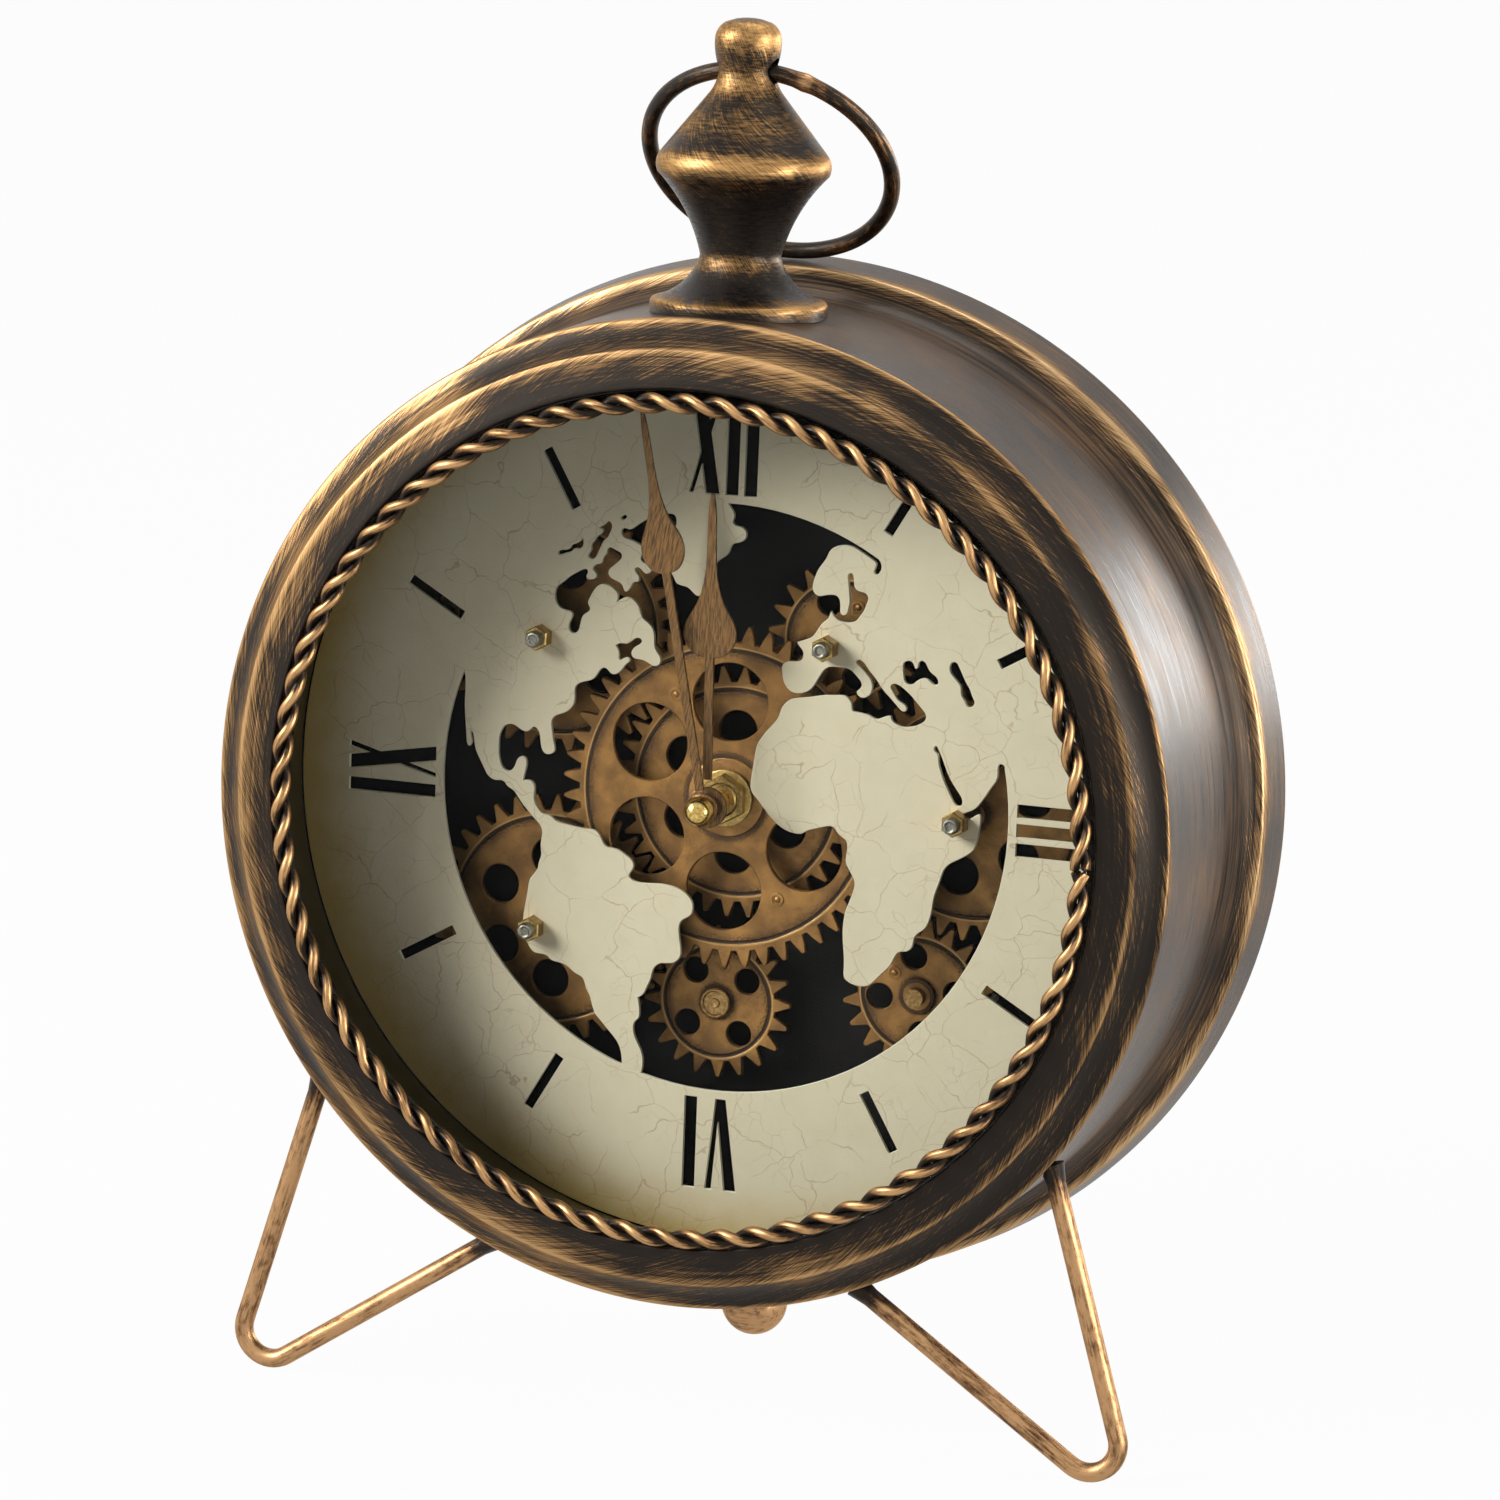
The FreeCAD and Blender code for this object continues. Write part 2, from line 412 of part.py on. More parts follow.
OCEAN_EAST_SHARES = (
    ((0.522, 0.848), (0.527, 0.832), (0.522, 0.814), (0.511, 0.805), (0.503, 0.813),
     (0.507, 0.828), (0.508, 0.842), (0.500, 0.850), (0.473, 0.866), (0.449, 0.879),
     (0.428, 0.889), (0.402, 0.893), (0.378, 0.890), (0.358, 0.881), (0.346, 0.868),
     (0.339, 0.850), (0.325, 0.828), (0.310, 0.805), (0.300, 0.778), (0.295, 0.757),
     (0.296, 0.739), (0.304, 0.727), (0.319, 0.720), (0.339, 0.724), (0.356, 0.727),
     (0.373, 0.727), (0.385, 0.720), (0.391, 0.707), (0.393, 0.684), (0.396, 0.668),
     (0.405, 0.663), (0.415, 0.667), (0.421, 0.684), (0.425, 0.710), (0.422, 0.737),
     (0.418, 0.766), (0.415, 0.790), (0.419, 0.802), (0.427, 0.803), (0.433, 0.793),
     (0.436, 0.772), (0.441, 0.755), (0.450, 0.748), (0.467, 0.744), (0.481, 0.738),
     (0.487, 0.725), (0.483, 0.707), (0.476, 0.687), (0.461, 0.663), (0.449, 0.648),
     (0.431, 0.641), (0.411, 0.640), (0.390, 0.645), (0.376, 0.655), (0.363, 0.674)),
    ((0.359, 0.664), (0.354, 0.650), (0.340, 0.637), (0.325, 0.619), (0.314, 0.600),
     (0.301, 0.584), (0.281, 0.573), (0.250, 0.561)),
    ((0.257, 0.549), (0.269, 0.536), (0.273, 0.519), (0.266, 0.502), (0.248, 0.495),
     (0.222, 0.493), (0.207, 0.486), (0.200, 0.474), (0.201, 0.457), (0.206, 0.430),
     (0.216, 0.410), (0.234, 0.394), (0.257, 0.389), (0.281, 0.394), (0.301, 0.405),
     (0.316, 0.424), (0.328, 0.445), (0.340, 0.466), (0.352, 0.480), (0.367, 0.488),
     (0.396, 0.490), (0.425, 0.489), (0.443, 0.482), (0.461, 0.466), (0.475, 0.451),
     (0.480, 0.436), (0.473, 0.423), (0.464, 0.413), (0.470, 0.401), (0.487, 0.395),
     (0.503, 0.401), (0.515, 0.418), (0.516, 0.440), (0.508, 0.460), (0.490, 0.480),
     (0.467, 0.501), (0.458, 0.511), (0.462, 0.519), (0.473, 0.519), (0.489, 0.507),
     (0.505, 0.486), (0.526, 0.464), (0.544, 0.440), (0.563, 0.418), (0.581, 0.401),
     (0.600, 0.382), (0.615, 0.367), (0.625, 0.361), (0.633, 0.362), (0.637, 0.370),
     (0.632, 0.381), (0.613, 0.393), (0.601, 0.404), (0.592, 0.418), (0.583, 0.431),
     (0.580, 0.442), (0.586, 0.449), (0.598, 0.450), (0.613, 0.444), (0.637, 0.427),
     (0.663, 0.403), (0.685, 0.379), (0.700, 0.362), (0.704, 0.351), (0.700, 0.336),
     (0.687, 0.325), (0.667, 0.315), (0.648, 0.311), (0.630, 0.309), (0.611, 0.314),
     (0.598, 0.321), (0.585, 0.341)),
    ((0.570, 0.340), (0.555, 0.334), (0.540, 0.328), (0.530, 0.329), (0.515, 0.336),
     (0.500, 0.340), (0.480, 0.343), (0.455, 0.346)),
    ((0.450, 0.354), (0.449, 0.366), (0.441, 0.383), (0.427, 0.394), (0.396, 0.395),
     (0.353, 0.391), (0.311, 0.382), (0.269, 0.374), (0.233, 0.365), (0.216, 0.351),
     (0.202, 0.327), (0.194, 0.302), (0.177, 0.277), (0.156, 0.253), (0.135, 0.224),
     (0.123, 0.200), (0.117, 0.168), (0.113, 0.140), (0.108, 0.097), (0.105, 0.062),
     (0.110, 0.041), (0.128, 0.020), (0.152, -0.008), (0.177, -0.036), (0.205, -0.061),
     (0.237, -0.079), (0.269, -0.086), (0.293, -0.084), (0.307, -0.075), (0.339, -0.063),
     (0.367, -0.054), (0.390, -0.049), (0.403, -0.052), (0.417, -0.068), (0.434, -0.082),
     (0.448, -0.093), (0.453, -0.111), (0.451, -0.142), (0.450, -0.163), (0.459, -0.185),
     (0.477, -0.213), (0.484, -0.237), (0.480, -0.262), (0.471, -0.290), (0.459, -0.322),
     (0.452, -0.354), (0.449, -0.396), (0.452, -0.446), (0.457, -0.488), (0.458, -0.530),
     (0.461, -0.558), (0.473, -0.571), (0.501, -0.581), (0.530, -0.582), (0.551, -0.574),
     (0.568, -0.558), (0.593, -0.530), (0.618, -0.502), (0.628, -0.481), (0.639, -0.460),
     (0.649, -0.451), (0.671, -0.447), (0.688, -0.435), (0.695, -0.414), (0.699, -0.396),
     (0.709, -0.382), (0.727, -0.368), (0.741, -0.347), (0.750, -0.319), (0.755, -0.290),
     (0.759, -0.255), (0.769, -0.220), (0.780, -0.185), (0.790, -0.156), (0.808, -0.135),
     (0.836, -0.118), (0.864, -0.100), (0.886, -0.079), (0.896, -0.051), (0.902, -0.015),
     (0.905, 0.027), (0.902, 0.039), (0.893, 0.039), (0.882, 0.032), (0.868, 0.023),
     (0.850, 0.023), (0.843, 0.034), (0.854, 0.042), (0.875, 0.052), (0.893, 0.067),
     (0.907, 0.087), (0.921, 0.108), (0.935, 0.133), (0.949, 0.154), (0.955, 0.175),
     (0.955, 0.203), (0.960, 0.214), (0.970, 0.214), (0.977, 0.203)),
)
LAKES_SHARES = (
    ((-0.387, 0.924), (-0.380, 0.928), (-0.373, 0.933), (-0.365, 0.927), (-0.369, 0.921),
     (-0.377, 0.916), (-0.384, 0.918)),
    ((-0.425, 0.906), (-0.418, 0.897), (-0.418, 0.884), (-0.424, 0.868), (-0.432, 0.853),
     (-0.442, 0.845), (-0.451, 0.830), (-0.462, 0.804), (-0.473, 0.783), (-0.481, 0.777),
     (-0.492, 0.778), (-0.498, 0.785), (-0.495, 0.795), (-0.488, 0.807), (-0.488, 0.823),
     (-0.478, 0.838), (-0.467, 0.854), (-0.452, 0.866), (-0.449, 0.877), (-0.463, 0.882),
     (-0.445, 0.893)),
    ((-0.520, 0.844), (-0.517, 0.832), (-0.518, 0.819), (-0.524, 0.810), (-0.536, 0.807),
     (-0.548, 0.806), (-0.556, 0.798), (-0.570, 0.791), (-0.588, 0.785), (-0.603, 0.782),
     (-0.607, 0.788), (-0.599, 0.795), (-0.580, 0.799), (-0.567, 0.803), (-0.557, 0.817),
     (-0.543, 0.823), (-0.531, 0.829), (-0.524, 0.838)),
    ((0.620, 0.522), (0.632, 0.530), (0.645, 0.529), (0.654, 0.518), (0.663, 0.506),
     (0.668, 0.511), (0.671, 0.527), (0.680, 0.534), (0.691, 0.530), (0.702, 0.512),
     (0.713, 0.498), (0.730, 0.486), (0.739, 0.471), (0.737, 0.460), (0.728, 0.458),
     (0.715, 0.466), (0.700, 0.475), (0.682, 0.475), (0.667, 0.466), (0.654, 0.455),
     (0.643, 0.452), (0.630, 0.458), (0.622, 0.477), (0.619, 0.499)),
    ((0.780, 0.533), (0.788, 0.539), (0.799, 0.536), (0.806, 0.525), (0.816, 0.507),
     (0.830, 0.479), (0.847, 0.453), (0.856, 0.431), (0.865, 0.408), (0.860, 0.399),
     (0.849, 0.394), (0.841, 0.397), (0.834, 0.410), (0.823, 0.425), (0.818, 0.440),
     (0.816, 0.458), (0.804, 0.475), (0.788, 0.492), (0.779, 0.505), (0.776, 0.520)),
    ((0.738, 0.249), (0.743, 0.256), (0.752, 0.245), (0.769, 0.210), (0.787, 0.168),
     (0.805, 0.136), (0.826, 0.108), (0.840, 0.083), (0.838, 0.066), (0.826, 0.062),
     (0.812, 0.073), (0.794, 0.105), (0.776, 0.140), (0.762, 0.175), (0.754, 0.207),
     (0.748, 0.231)),
)

# Numeral strokes, as shares of the numeral's height across its own middle line: left and
# right edge at the foot, which is nearer the centre, then left and right edge at the head
BAR_STROKE_SHARES = (-0.071, 0.071, -0.071, 0.071)
CROSS_STROKE_SHARES = ((0.013, 0.170, -0.162, -0.009), (-0.175, -0.127, 0.087, 0.153))
FORK_STROKE_SHARES = ((-0.114, 0.000, -0.262, -0.127), (-0.051, 0.000, 0.022, 0.096))
BAR_STEP_SHARE = 0.210
TWELVE_CROSS_SHARE = -0.310
NINE_CROSS_SHARE = 0.105
NINE_BAR_SHARE = -0.223
SIX_FORK_SHARE = -0.074

# Half outline of the finial's flattened ball above the neck: share of its widest radius and
# share of the height from the neck to the top
FINIAL_BALL_SHARES = ((0.985, 0.36), (1.000, 0.57), (0.905, 0.78), (0.690, 0.915), (0.380, 0.980))

# Hand outline past the stem: share of the way from the bulge's foot to the tip, and share of
# half the bulge's width
HAND_OUTLINE_SHARES = (
    (0.012, 0.520), (0.050, 0.800), (0.105, 0.970), (0.165, 1.000), (0.230, 0.880),
    (0.310, 0.600), (0.390, 0.390), (0.500, 0.240), (0.700, 0.165), (1.000, 0.060),
)


# Wires, faces and simple solids

def polar(radius, degrees):
    """Point in the dial plane at an angle from +x, as x and z."""
    angle = math.radians(degrees)
    return radius * math.cos(angle), radius * math.sin(angle)


def rod(radius, y_front, y_rear, x=0, z=0):
    """Cylinder along y."""
    return Part.makeCylinder(radius, y_rear - y_front, V(x, y_front, z), AXIS_Y)


def tube(outer, inner, y_front, y_rear, x=0, z=0):
    return rod(outer, y_front, y_rear, x, z).cut(rod(inner, y_front, y_rear, x, z))


def block(width, y_front, y_rear, height, x=0, z=0):
    """Box centred on x and z."""
    corner = V(x - width / 2, y_front, z - height / 2)
    return Part.makeBox(width, y_rear - y_front, height, corner)


def hexagon(across, y_front, y_rear, x=0, z=0):
    """Hexagonal prism along y, given its size across the flats."""
    corner_radius = across / math.sqrt(3)
    corners = [polar(corner_radius, 60 * k + 30) for k in range(6)]
    return prism([(x + u, z + w) for u, w in corners], y_front, y_rear)


def prism(outline, y_front, y_rear):
    """Straight-sided outline in x and z, drawn out along y."""
    points = [V(x, y_front, z) for x, z in outline]
    face = Part.Face(Part.makePolygon(points + points[:1]))
    return face.extrude(V(0, y_rear - y_front, 0))


def line(start, end):
    return Part.LineSegment(start, end).toShape()


def arc(start, middle, end):
    return Part.Arc(start, middle, end).toShape()


def sagged(start, end, sag):
    """Middle point of an arc that bows by sag to the left of the way from start to end."""
    along = end.sub(start)
    side = V(along.y, -along.x, 0).normalize()
    return start.add(end).multiply(1 / 2).add(side.multiply(sag))


def revolved(edges, axis):
    """Closed section of edges, turned a full circle about an axis through the origin."""
    face = Part.Face(Part.Wire(edges))
    return face.revolve(V(0, 0, 0), axis, 360)


def sheet_ring(points, arc_middles, wall):
    """Sheet of even thickness turned about y.

    The points are (depth, radius) along its show side, and the wall lies on the right-hand
    side of the way along them. Those that are also in arc_middles lie inside an arc.
    """
    outer = [V(radius, y, 0) for y, radius in points]
    ways = [b.sub(a).normalize() for a, b in zip(outer, outer[1:])]
    inner = []
    for k, point in enumerate(outer):
        before = ways[max(k - 1, 0)]
        after = ways[min(k, len(ways) - 1)]
        normal = V(-before.y - after.y, before.x + after.x, 0)
        inner.append(point.add(normal.multiply(wall / (1 + before.dot(after)))))
    bends = [points.index(middle) for middle in arc_middles]
    edges = chain(outer, bends)
    edges.append(line(outer[-1], inner[-1]))
    last = len(points) - 1
    edges += chain(inner[::-1], [last - k for k in bends])
    edges.append(line(inner[0], outer[0]))
    return revolved(edges, AXIS_Y)


def chain(points, bends):
    """Edges through the points; bends are the numbers of the points inside an arc."""
    edges = []
    k = 0
    while k < len(points) - 1:
        if k + 1 in bends:
            edges.append(arc(points[k], points[k + 1], points[k + 2]))
            k += 2
        else:
            edges.append(line(points[k], points[k + 1]))
            k += 1
    return edges


# Drum

def band_radius(y):
    """Outer radius of the drum's side at a depth, with the rear cove taken as straight."""
    if y <= BAND_REAR_Y:
        return BAND_FRONT_RADIUS + (y - BAND_FRONT_Y) / BAND_DEPTH * BAND_FLARE
    if y <= REAR_CREST_Y:
        return BAND_REAR_RADIUS + (y - BAND_REAR_Y) / REAR_COVE_DEPTH * REAR_COVE_RISE
    return REAR_CREST_RADIUS + (y - REAR_CREST_Y) / REAR_CREST_DEPTH * REAR_EDGE_RISE


def front_bezel():
    front_crest = V(FRONT_CREST_RADIUS, FRONT_CREST_Y, 0)
    side_crest = V(SIDE_CREST_RADIUS, SIDE_CREST_Y, 0)
    cove = sagged(front_crest, side_crest, -FRONT_COVE_SAG)
    cove_middle = (cove.y, cove.x)
    points = [
        (FRONT_LIP_Y + FRONT_LIP_DEPTH, FRONT_LIP_RADIUS),
        (FRONT_LIP_Y, FRONT_LIP_RADIUS),
        (FRONT_CREST_Y, FRONT_CREST_RADIUS),
        cove_middle,
        (SIDE_CREST_Y, SIDE_CREST_RADIUS),
        (BAND_FRONT_Y, SIDE_CREST_RADIUS),
    ]
    return sheet_ring(points, [cove_middle], SHEET)


def lug(angle_deg, y_front, screw_circle):
    """Flat tab on the inside of the drum, with the screw hole, at an angle from +x."""
    outer = band_radius(y_front) - SHEET / 2
    inner = screw_circle - LUG_END
    tab = block(outer - inner, y_front, y_front + LUG_THICK, LUG_WIDTH, (outer + inner) / 2)
    tab = tab.cut(rod(SCREW_RADIUS, y_front, y_front + LUG_THICK, screw_circle))
    tab.rotate(V(0, 0, 0), AXIS_Y, -angle_deg)
    return tab


def plate_screw_angles():
    return [360 * (k + 1 / 2) / PLATE_SCREW_COUNT for k in range(PLATE_SCREW_COUNT)]


def cover_screw_angles():
    return [360 * (k + 1 / 2) / COVER_SCREW_COUNT for k in range(COVER_SCREW_COUNT)]


def case_body():
    band_end = V(BAND_REAR_RADIUS, BAND_REAR_Y, 0)
    rear_crest = V(REAR_CREST_RADIUS, REAR_CREST_Y, 0)
    cove = sagged(band_end, rear_crest, -REAR_COVE_SAG)
    cove_middle = (cove.y, cove.x)
    round_inset = REAR_ROUND_RADIUS * (1 - math.sqrt(1 / 2))
    round_middle = (REAR_EDGE_Y + REAR_ROUND_RADIUS - round_inset, REAR_EDGE_RADIUS - round_inset)
    points = [
        (BAND_FRONT_Y, BAND_FRONT_RADIUS),
        (BAND_REAR_Y, BAND_REAR_RADIUS),
        cove_middle,
        (REAR_CREST_Y, REAR_CREST_RADIUS),
        (REAR_EDGE_Y, REAR_EDGE_RADIUS),
        round_middle,
        (REAR_EDGE_Y + REAR_ROUND_RADIUS, REAR_EDGE_RADIUS - REAR_ROUND_RADIUS),
        (REAR_EDGE_Y + REAR_ROUND_RADIUS, REAR_FLANGE_RADIUS),
    ]
    body = sheet_ring(points, [cove_middle, round_middle], SHEET)
    plate_rear = PLATE_Y + PLATE_THICK
    lugs = [lug(a, plate_rear, PLATE_SCREW_CIRCLE) for a in plate_screw_angles()]
    lugs += [lug(a, COVER_Y - LUG_THICK, COVER_SCREW_CIRCLE) for a in cover_screw_angles()]
    return body.fuse(lugs).removeSplitter()


def drum_solid():
    """The space that the drum's side fills, a little larger, to cut welded pieces to."""
    points = [
        V(0, BAND_FRONT_Y, 0),
        V(BAND_FRONT_RADIUS + WELD_GAP, BAND_FRONT_Y, 0),
        V(BAND_REAR_RADIUS + WELD_GAP, BAND_REAR_Y, 0),
        V(REAR_CREST_RADIUS + WELD_GAP, REAR_CREST_Y, 0),
        V(REAR_EDGE_RADIUS + WELD_GAP, REAR_EDGE_Y, 0),
        V(0, REAR_EDGE_Y, 0),
    ]
    return revolved(chain(points + points[:1], []), AXIS_Y)


def glass_rear_y():
    return FRONT_LIP_Y + FRONT_LIP_DEPTH


def dial_cone():
    """Dark cone from the glass to the dial, with the ledge that the glass lies on."""
    ledge_rear = glass_rear_y() + CONE_LEDGE_THICK
    outer_front = FRONT_LIP_RADIUS + SHEET
    dial_edge = DIAL_RADIUS + DIAL_CLEARANCE
    corners = [
        V(CONE_LEDGE_RADIUS, glass_rear_y(), 0),
        V(outer_front, glass_rear_y(), 0),
        V(dial_edge + CONE_WALL, 0, 0),
        V(dial_edge + CONE_WALL, CONE_REAR_DEPTH, 0),
        V(dial_edge, CONE_REAR_DEPTH, 0),
        V(dial_edge, 0, 0),
        V(outer_front - CONE_WALL, ledge_rear, 0),
        V(CONE_LEDGE_RADIUS, ledge_rear, 0),
    ]
    return revolved(chain(corners + corners[:1], []), AXIS_Y)


def glass():
    return rod(GLASS_RADIUS, glass_rear_y() - GLASS_THICK, glass_rear_y())


def rope_trim():
    """The twisted rope's outer size as one plain ring, lying on the glass inside the lip."""
    y = glass_rear_y() - GLASS_THICK - ROPE_GAP - ROPE_RADIUS
    return Part.makeTorus(ROPE_RING_RADIUS, ROPE_RADIUS, V(0, y, 0), AXIS_Y)


# Dial

def map_point(share):
    return V(share[0] * MAP_RADIUS, 0, share[1] * MAP_RADIUS)


def coast(start_share, stretches_shares):
    """Edges of a coast line, one smooth curve for each stretch."""
    edges = []
    start = map_point(start_share)
    for stretch_shares in stretches_shares:
        points = [start] + [map_point(share) for share in stretch_shares]
        curve = Part.BSplineCurve()
        curve.interpolate(points)
        edges.append(curve.toShape())
        start = points[-1]
    return edges


def map_rim(start_share, end_share):
    """Stretch of the map's round rim, clockwise from one coast to the next."""
    start_angle = math.atan2(start_share[1], start_share[0])
    end_angle = math.atan2(end_share[1], end_share[0])
    if end_angle > start_angle:
        end_angle -= 2 * math.pi
    x, z = polar(MAP_RADIUS, math.degrees((start_angle + end_angle) / 2))
    return arc(map_point(start_share), V(x, 0, z), map_point(end_share))


def sea_solids():
    """The map's openings, as solids through the dial."""
    west_ocean = coast(PACIFIC_START_SHARE, PACIFIC_COAST_SHARES)
    west_ocean.append(map_rim(PACIFIC_COAST_SHARES[-1][-1], PACIFIC_START_SHARE))
    ocean = coast(OCEAN_WEST_START_SHARE, OCEAN_WEST_SHARES)
    ocean.append(map_rim(OCEAN_WEST_SHARES[-1][-1], OCEAN_EAST_START_SHARE))
    ocean += coast(OCEAN_EAST_START_SHARE, OCEAN_EAST_SHARES)
    ocean.append(map_rim(OCEAN_EAST_SHARES[-1][-1], OCEAN_WEST_START_SHARE))
    wires = [Part.Wire(west_ocean), Part.Wire(ocean)]
    for lake_shares in LAKES_SHARES:
        shore = Part.BSplineCurve()
        shore.interpolate([map_point(share) for share in lake_shares], PeriodicFlag=True)
        wires.append(Part.Wire([shore.toShape()]))
    return [Part.Face(wire).extrude(V(0, DIAL_THICK, 0)) for wire in wires]


def stroke(shares, middle_share, turn_deg):
    """One stroke of a numeral whose head points away from the centre."""
    foot_left, foot_right, head_left, head_right = [
        (share + middle_share) * NUMERAL_HEIGHT for share in shares
    ]
    foot = NUMERAL_INNER_RADIUS
    head = NUMERAL_INNER_RADIUS + NUMERAL_HEIGHT
    outline = [(foot_left, foot), (foot_right, foot), (head_right, head), (head_left, head)]
    solid = prism(outline, 0, DIAL_THICK)
    solid.rotate(V(0, 0, 0), AXIS_Y, turn_deg)
    return solid


def numeral_solids():
    quarter = 360 / 4
    strokes = [(BAR_STROKE_SHARES, k * BAR_STEP_SHARE, 0) for k in (0, 1)]
    strokes += [(cross, TWELVE_CROSS_SHARE, 0) for cross in CROSS_STROKE_SHARES]
    strokes += [(BAR_STROKE_SHARES, k * BAR_STEP_SHARE, quarter) for k in (-1, 0, 1)]
    strokes += [(fork, SIX_FORK_SHARE, 2 * quarter) for fork in FORK_STROKE_SHARES]
    strokes.append((BAR_STROKE_SHARES, BAR_STEP_SHARE, 2 * quarter))
    strokes.append((BAR_STROKE_SHARES, NINE_BAR_SHARE, 3 * quarter))
    strokes += [(cross, NINE_CROSS_SHARE, 3 * quarter) for cross in CROSS_STROKE_SHARES]
    return [stroke(*entry) for entry in strokes]


def tick_solids():
    middle = TICK_INNER_RADIUS + TICK_LENGTH / 2
    ticks = []
    for hour in range(HOURS):
        if hour % 3:
            tick = block(TICK_WIDTH, 0, DIAL_THICK, TICK_LENGTH, 0, middle)
            tick.rotate(V(0, 0, 0), AXIS_Y, 360 * hour / HOURS)
            ticks.append(tick)
    return ticks


def dial_plate():
    disc = rod(DIAL_RADIUS, 0, DIAL_THICK)
    pins = [rod(PIN_RADIUS, 0, DIAL_THICK, *place) for place in axle_places().values()]
    return disc.cut(sea_solids() + numeral_solids() + tick_solids() + pins)


# Gear train

def pitch_radius(teeth):
    return MODULE * teeth / 2


def gear_places():
    """Centre (x, z) of each meshing gear and the direction of one tooth, in degrees."""
    places = {"centre_gear_rear": (0, 0, CENTRE_TOOTH_DEG, LARGE_TEETH)}
    steps = (
        ("upper_left_gear", "centre_gear_rear", UPPER_LEFT_DEG, LARGE_TEETH),
        ("left_gear", "centre_gear_rear", LEFT_DEG, LARGE_TEETH),
        ("right_gear", "centre_gear_rear", RIGHT_DEG, LARGE_TEETH),
        ("top_right_gear", "centre_gear_rear", TOP_RIGHT_DEG, SMALL_TEETH),
        ("bottom_gear", "left_gear", BOTTOM_DEG, SMALL_TEETH),
        ("lower_right_gear", "right_gear", LOWER_RIGHT_DEG, SMALL_TEETH),
    )
    for name, mate, way_deg, teeth in steps:
        x, z, mate_tooth_deg, mate_teeth = places[mate]
        dx, dz = polar(pitch_radius(mate_teeth) + pitch_radius(teeth), way_deg)
        mate_step = 360 / mate_teeth
        past_tooth = ((way_deg - mate_tooth_deg) / mate_step) % 1
        tooth_deg = way_deg + 180 + (past_tooth + 1 / 2) * 360 / teeth
        places[name] = (x + dx, z + dz, tooth_deg, teeth)
    return places


def axle_places():
    """The gears whose axle pins come through the dial."""
    places = gear_places()
    names = ("upper_left_gear", "left_gear", "right_gear", "top_right_gear")
    return {name: places[name][:2] for name in names}


def toothed_disc(teeth, profile, y_front, tooth_deg):
    """Toothed disc about y; profile is (radius, width) from a tooth's root to its tip."""
    outline = []
    for k in range(teeth):
        middle = tooth_deg + 360 * k / teeth
        left = [polar(r, middle - math.degrees(w / 2 / r)) for r, w in profile]
        right = [polar(r, middle + math.degrees(w / 2 / r)) for r, w in profile]
        outline += left + right[::-1]
    return prism(outline, y_front, y_front + GEAR_THICK)


def ring_of_holes(count, hole_radius, circle_radius, first_deg, y_front):
    places = [polar(circle_radius, first_deg + 360 * k / count) for k in range(count)]
    return [rod(hole_radius, y_front, y_front + GEAR_THICK, *place) for place in places]


def meshing_gear(name, bore_radius, hub_radius):
    """One gear of the train, in its place, with its holes, hub and bore."""
    x, z, tooth_deg, teeth = gear_places()[name]
    pitch = pitch_radius(teeth)
    profile = [(pitch - DEDENDUM, TOOTH_ROOT_WIDTH), (pitch + ADDENDUM, TOOTH_TIP_WIDTH)]
    gear = toothed_disc(teeth, profile, REAR_GEAR_Y, tooth_deg)
    if teeth == LARGE_TEETH:
        pattern = (LARGE_HOLES, LARGE_HOLE_RADIUS, LARGE_HOLE_CIRCLE)
    else:
        pattern = (SMALL_HOLES, SMALL_HOLE_RADIUS, SMALL_HOLE_CIRCLE)
    gear = gear.cut(ring_of_holes(*pattern, HOLE_DEG[name], REAR_GEAR_Y))
    hub_front = REAR_GEAR_Y
    hub_rear = REAR_GEAR_Y + GEAR_THICK
    if hub_radius:
        hub_front -= GEAR_HUB_RISE
        hub_rear += GEAR_HUB_RISE
        gear = gear.fuse(rod(hub_radius, hub_front, hub_rear))
    gear = gear.cut(rod(bore_radius, hub_front, hub_rear))
    gear.translate(V(x, 0, z))
    return gear


def centre_gear_front():
    middle_radius = (FRONT_TIP_RADIUS + FRONT_ROOT_RADIUS) / 2
    profile = [
        (FRONT_ROOT_RADIUS, TOOTH_ROOT_WIDTH),
        (middle_radius, FRONT_MID_WIDTH),
        (FRONT_TIP_RADIUS, TOOTH_TIP_WIDTH),
    ]
    gear = toothed_disc(FRONT_TEETH, profile, FRONT_GEAR_Y, FRONT_TOOTH_DEG)
    pattern = (FRONT_HOLES, FRONT_HOLE_RADIUS, FRONT_HOLE_CIRCLE, FRONT_HOLE_DEG)
    gear = gear.cut(ring_of_holes(*pattern, FRONT_GEAR_Y))
    boss_front = FRONT_GEAR_Y - FRONT_BOSS_RISE
    gear = gear.fuse(rod(FRONT_BOSS_RADIUS, boss_front, FRONT_GEAR_Y))
    return gear.cut(rod(SLEEVE_RADIUS, boss_front, FRONT_GEAR_Y + GEAR_THICK))


def centre_sleeve():
    front = FRONT_GEAR_Y - FRONT_BOSS_RISE
    return tube(SLEEVE_RADIUS, BUSH_RADIUS + RUNNING_CLEARANCE, front, PLATE_Y - END_PLAY)


def hub_front_y():
    return REAR_GEAR_Y - GEAR_HUB_RISE


def hub_rear_y():
    return REAR_GEAR_Y + GEAR_THICK + GEAR_HUB_RISE


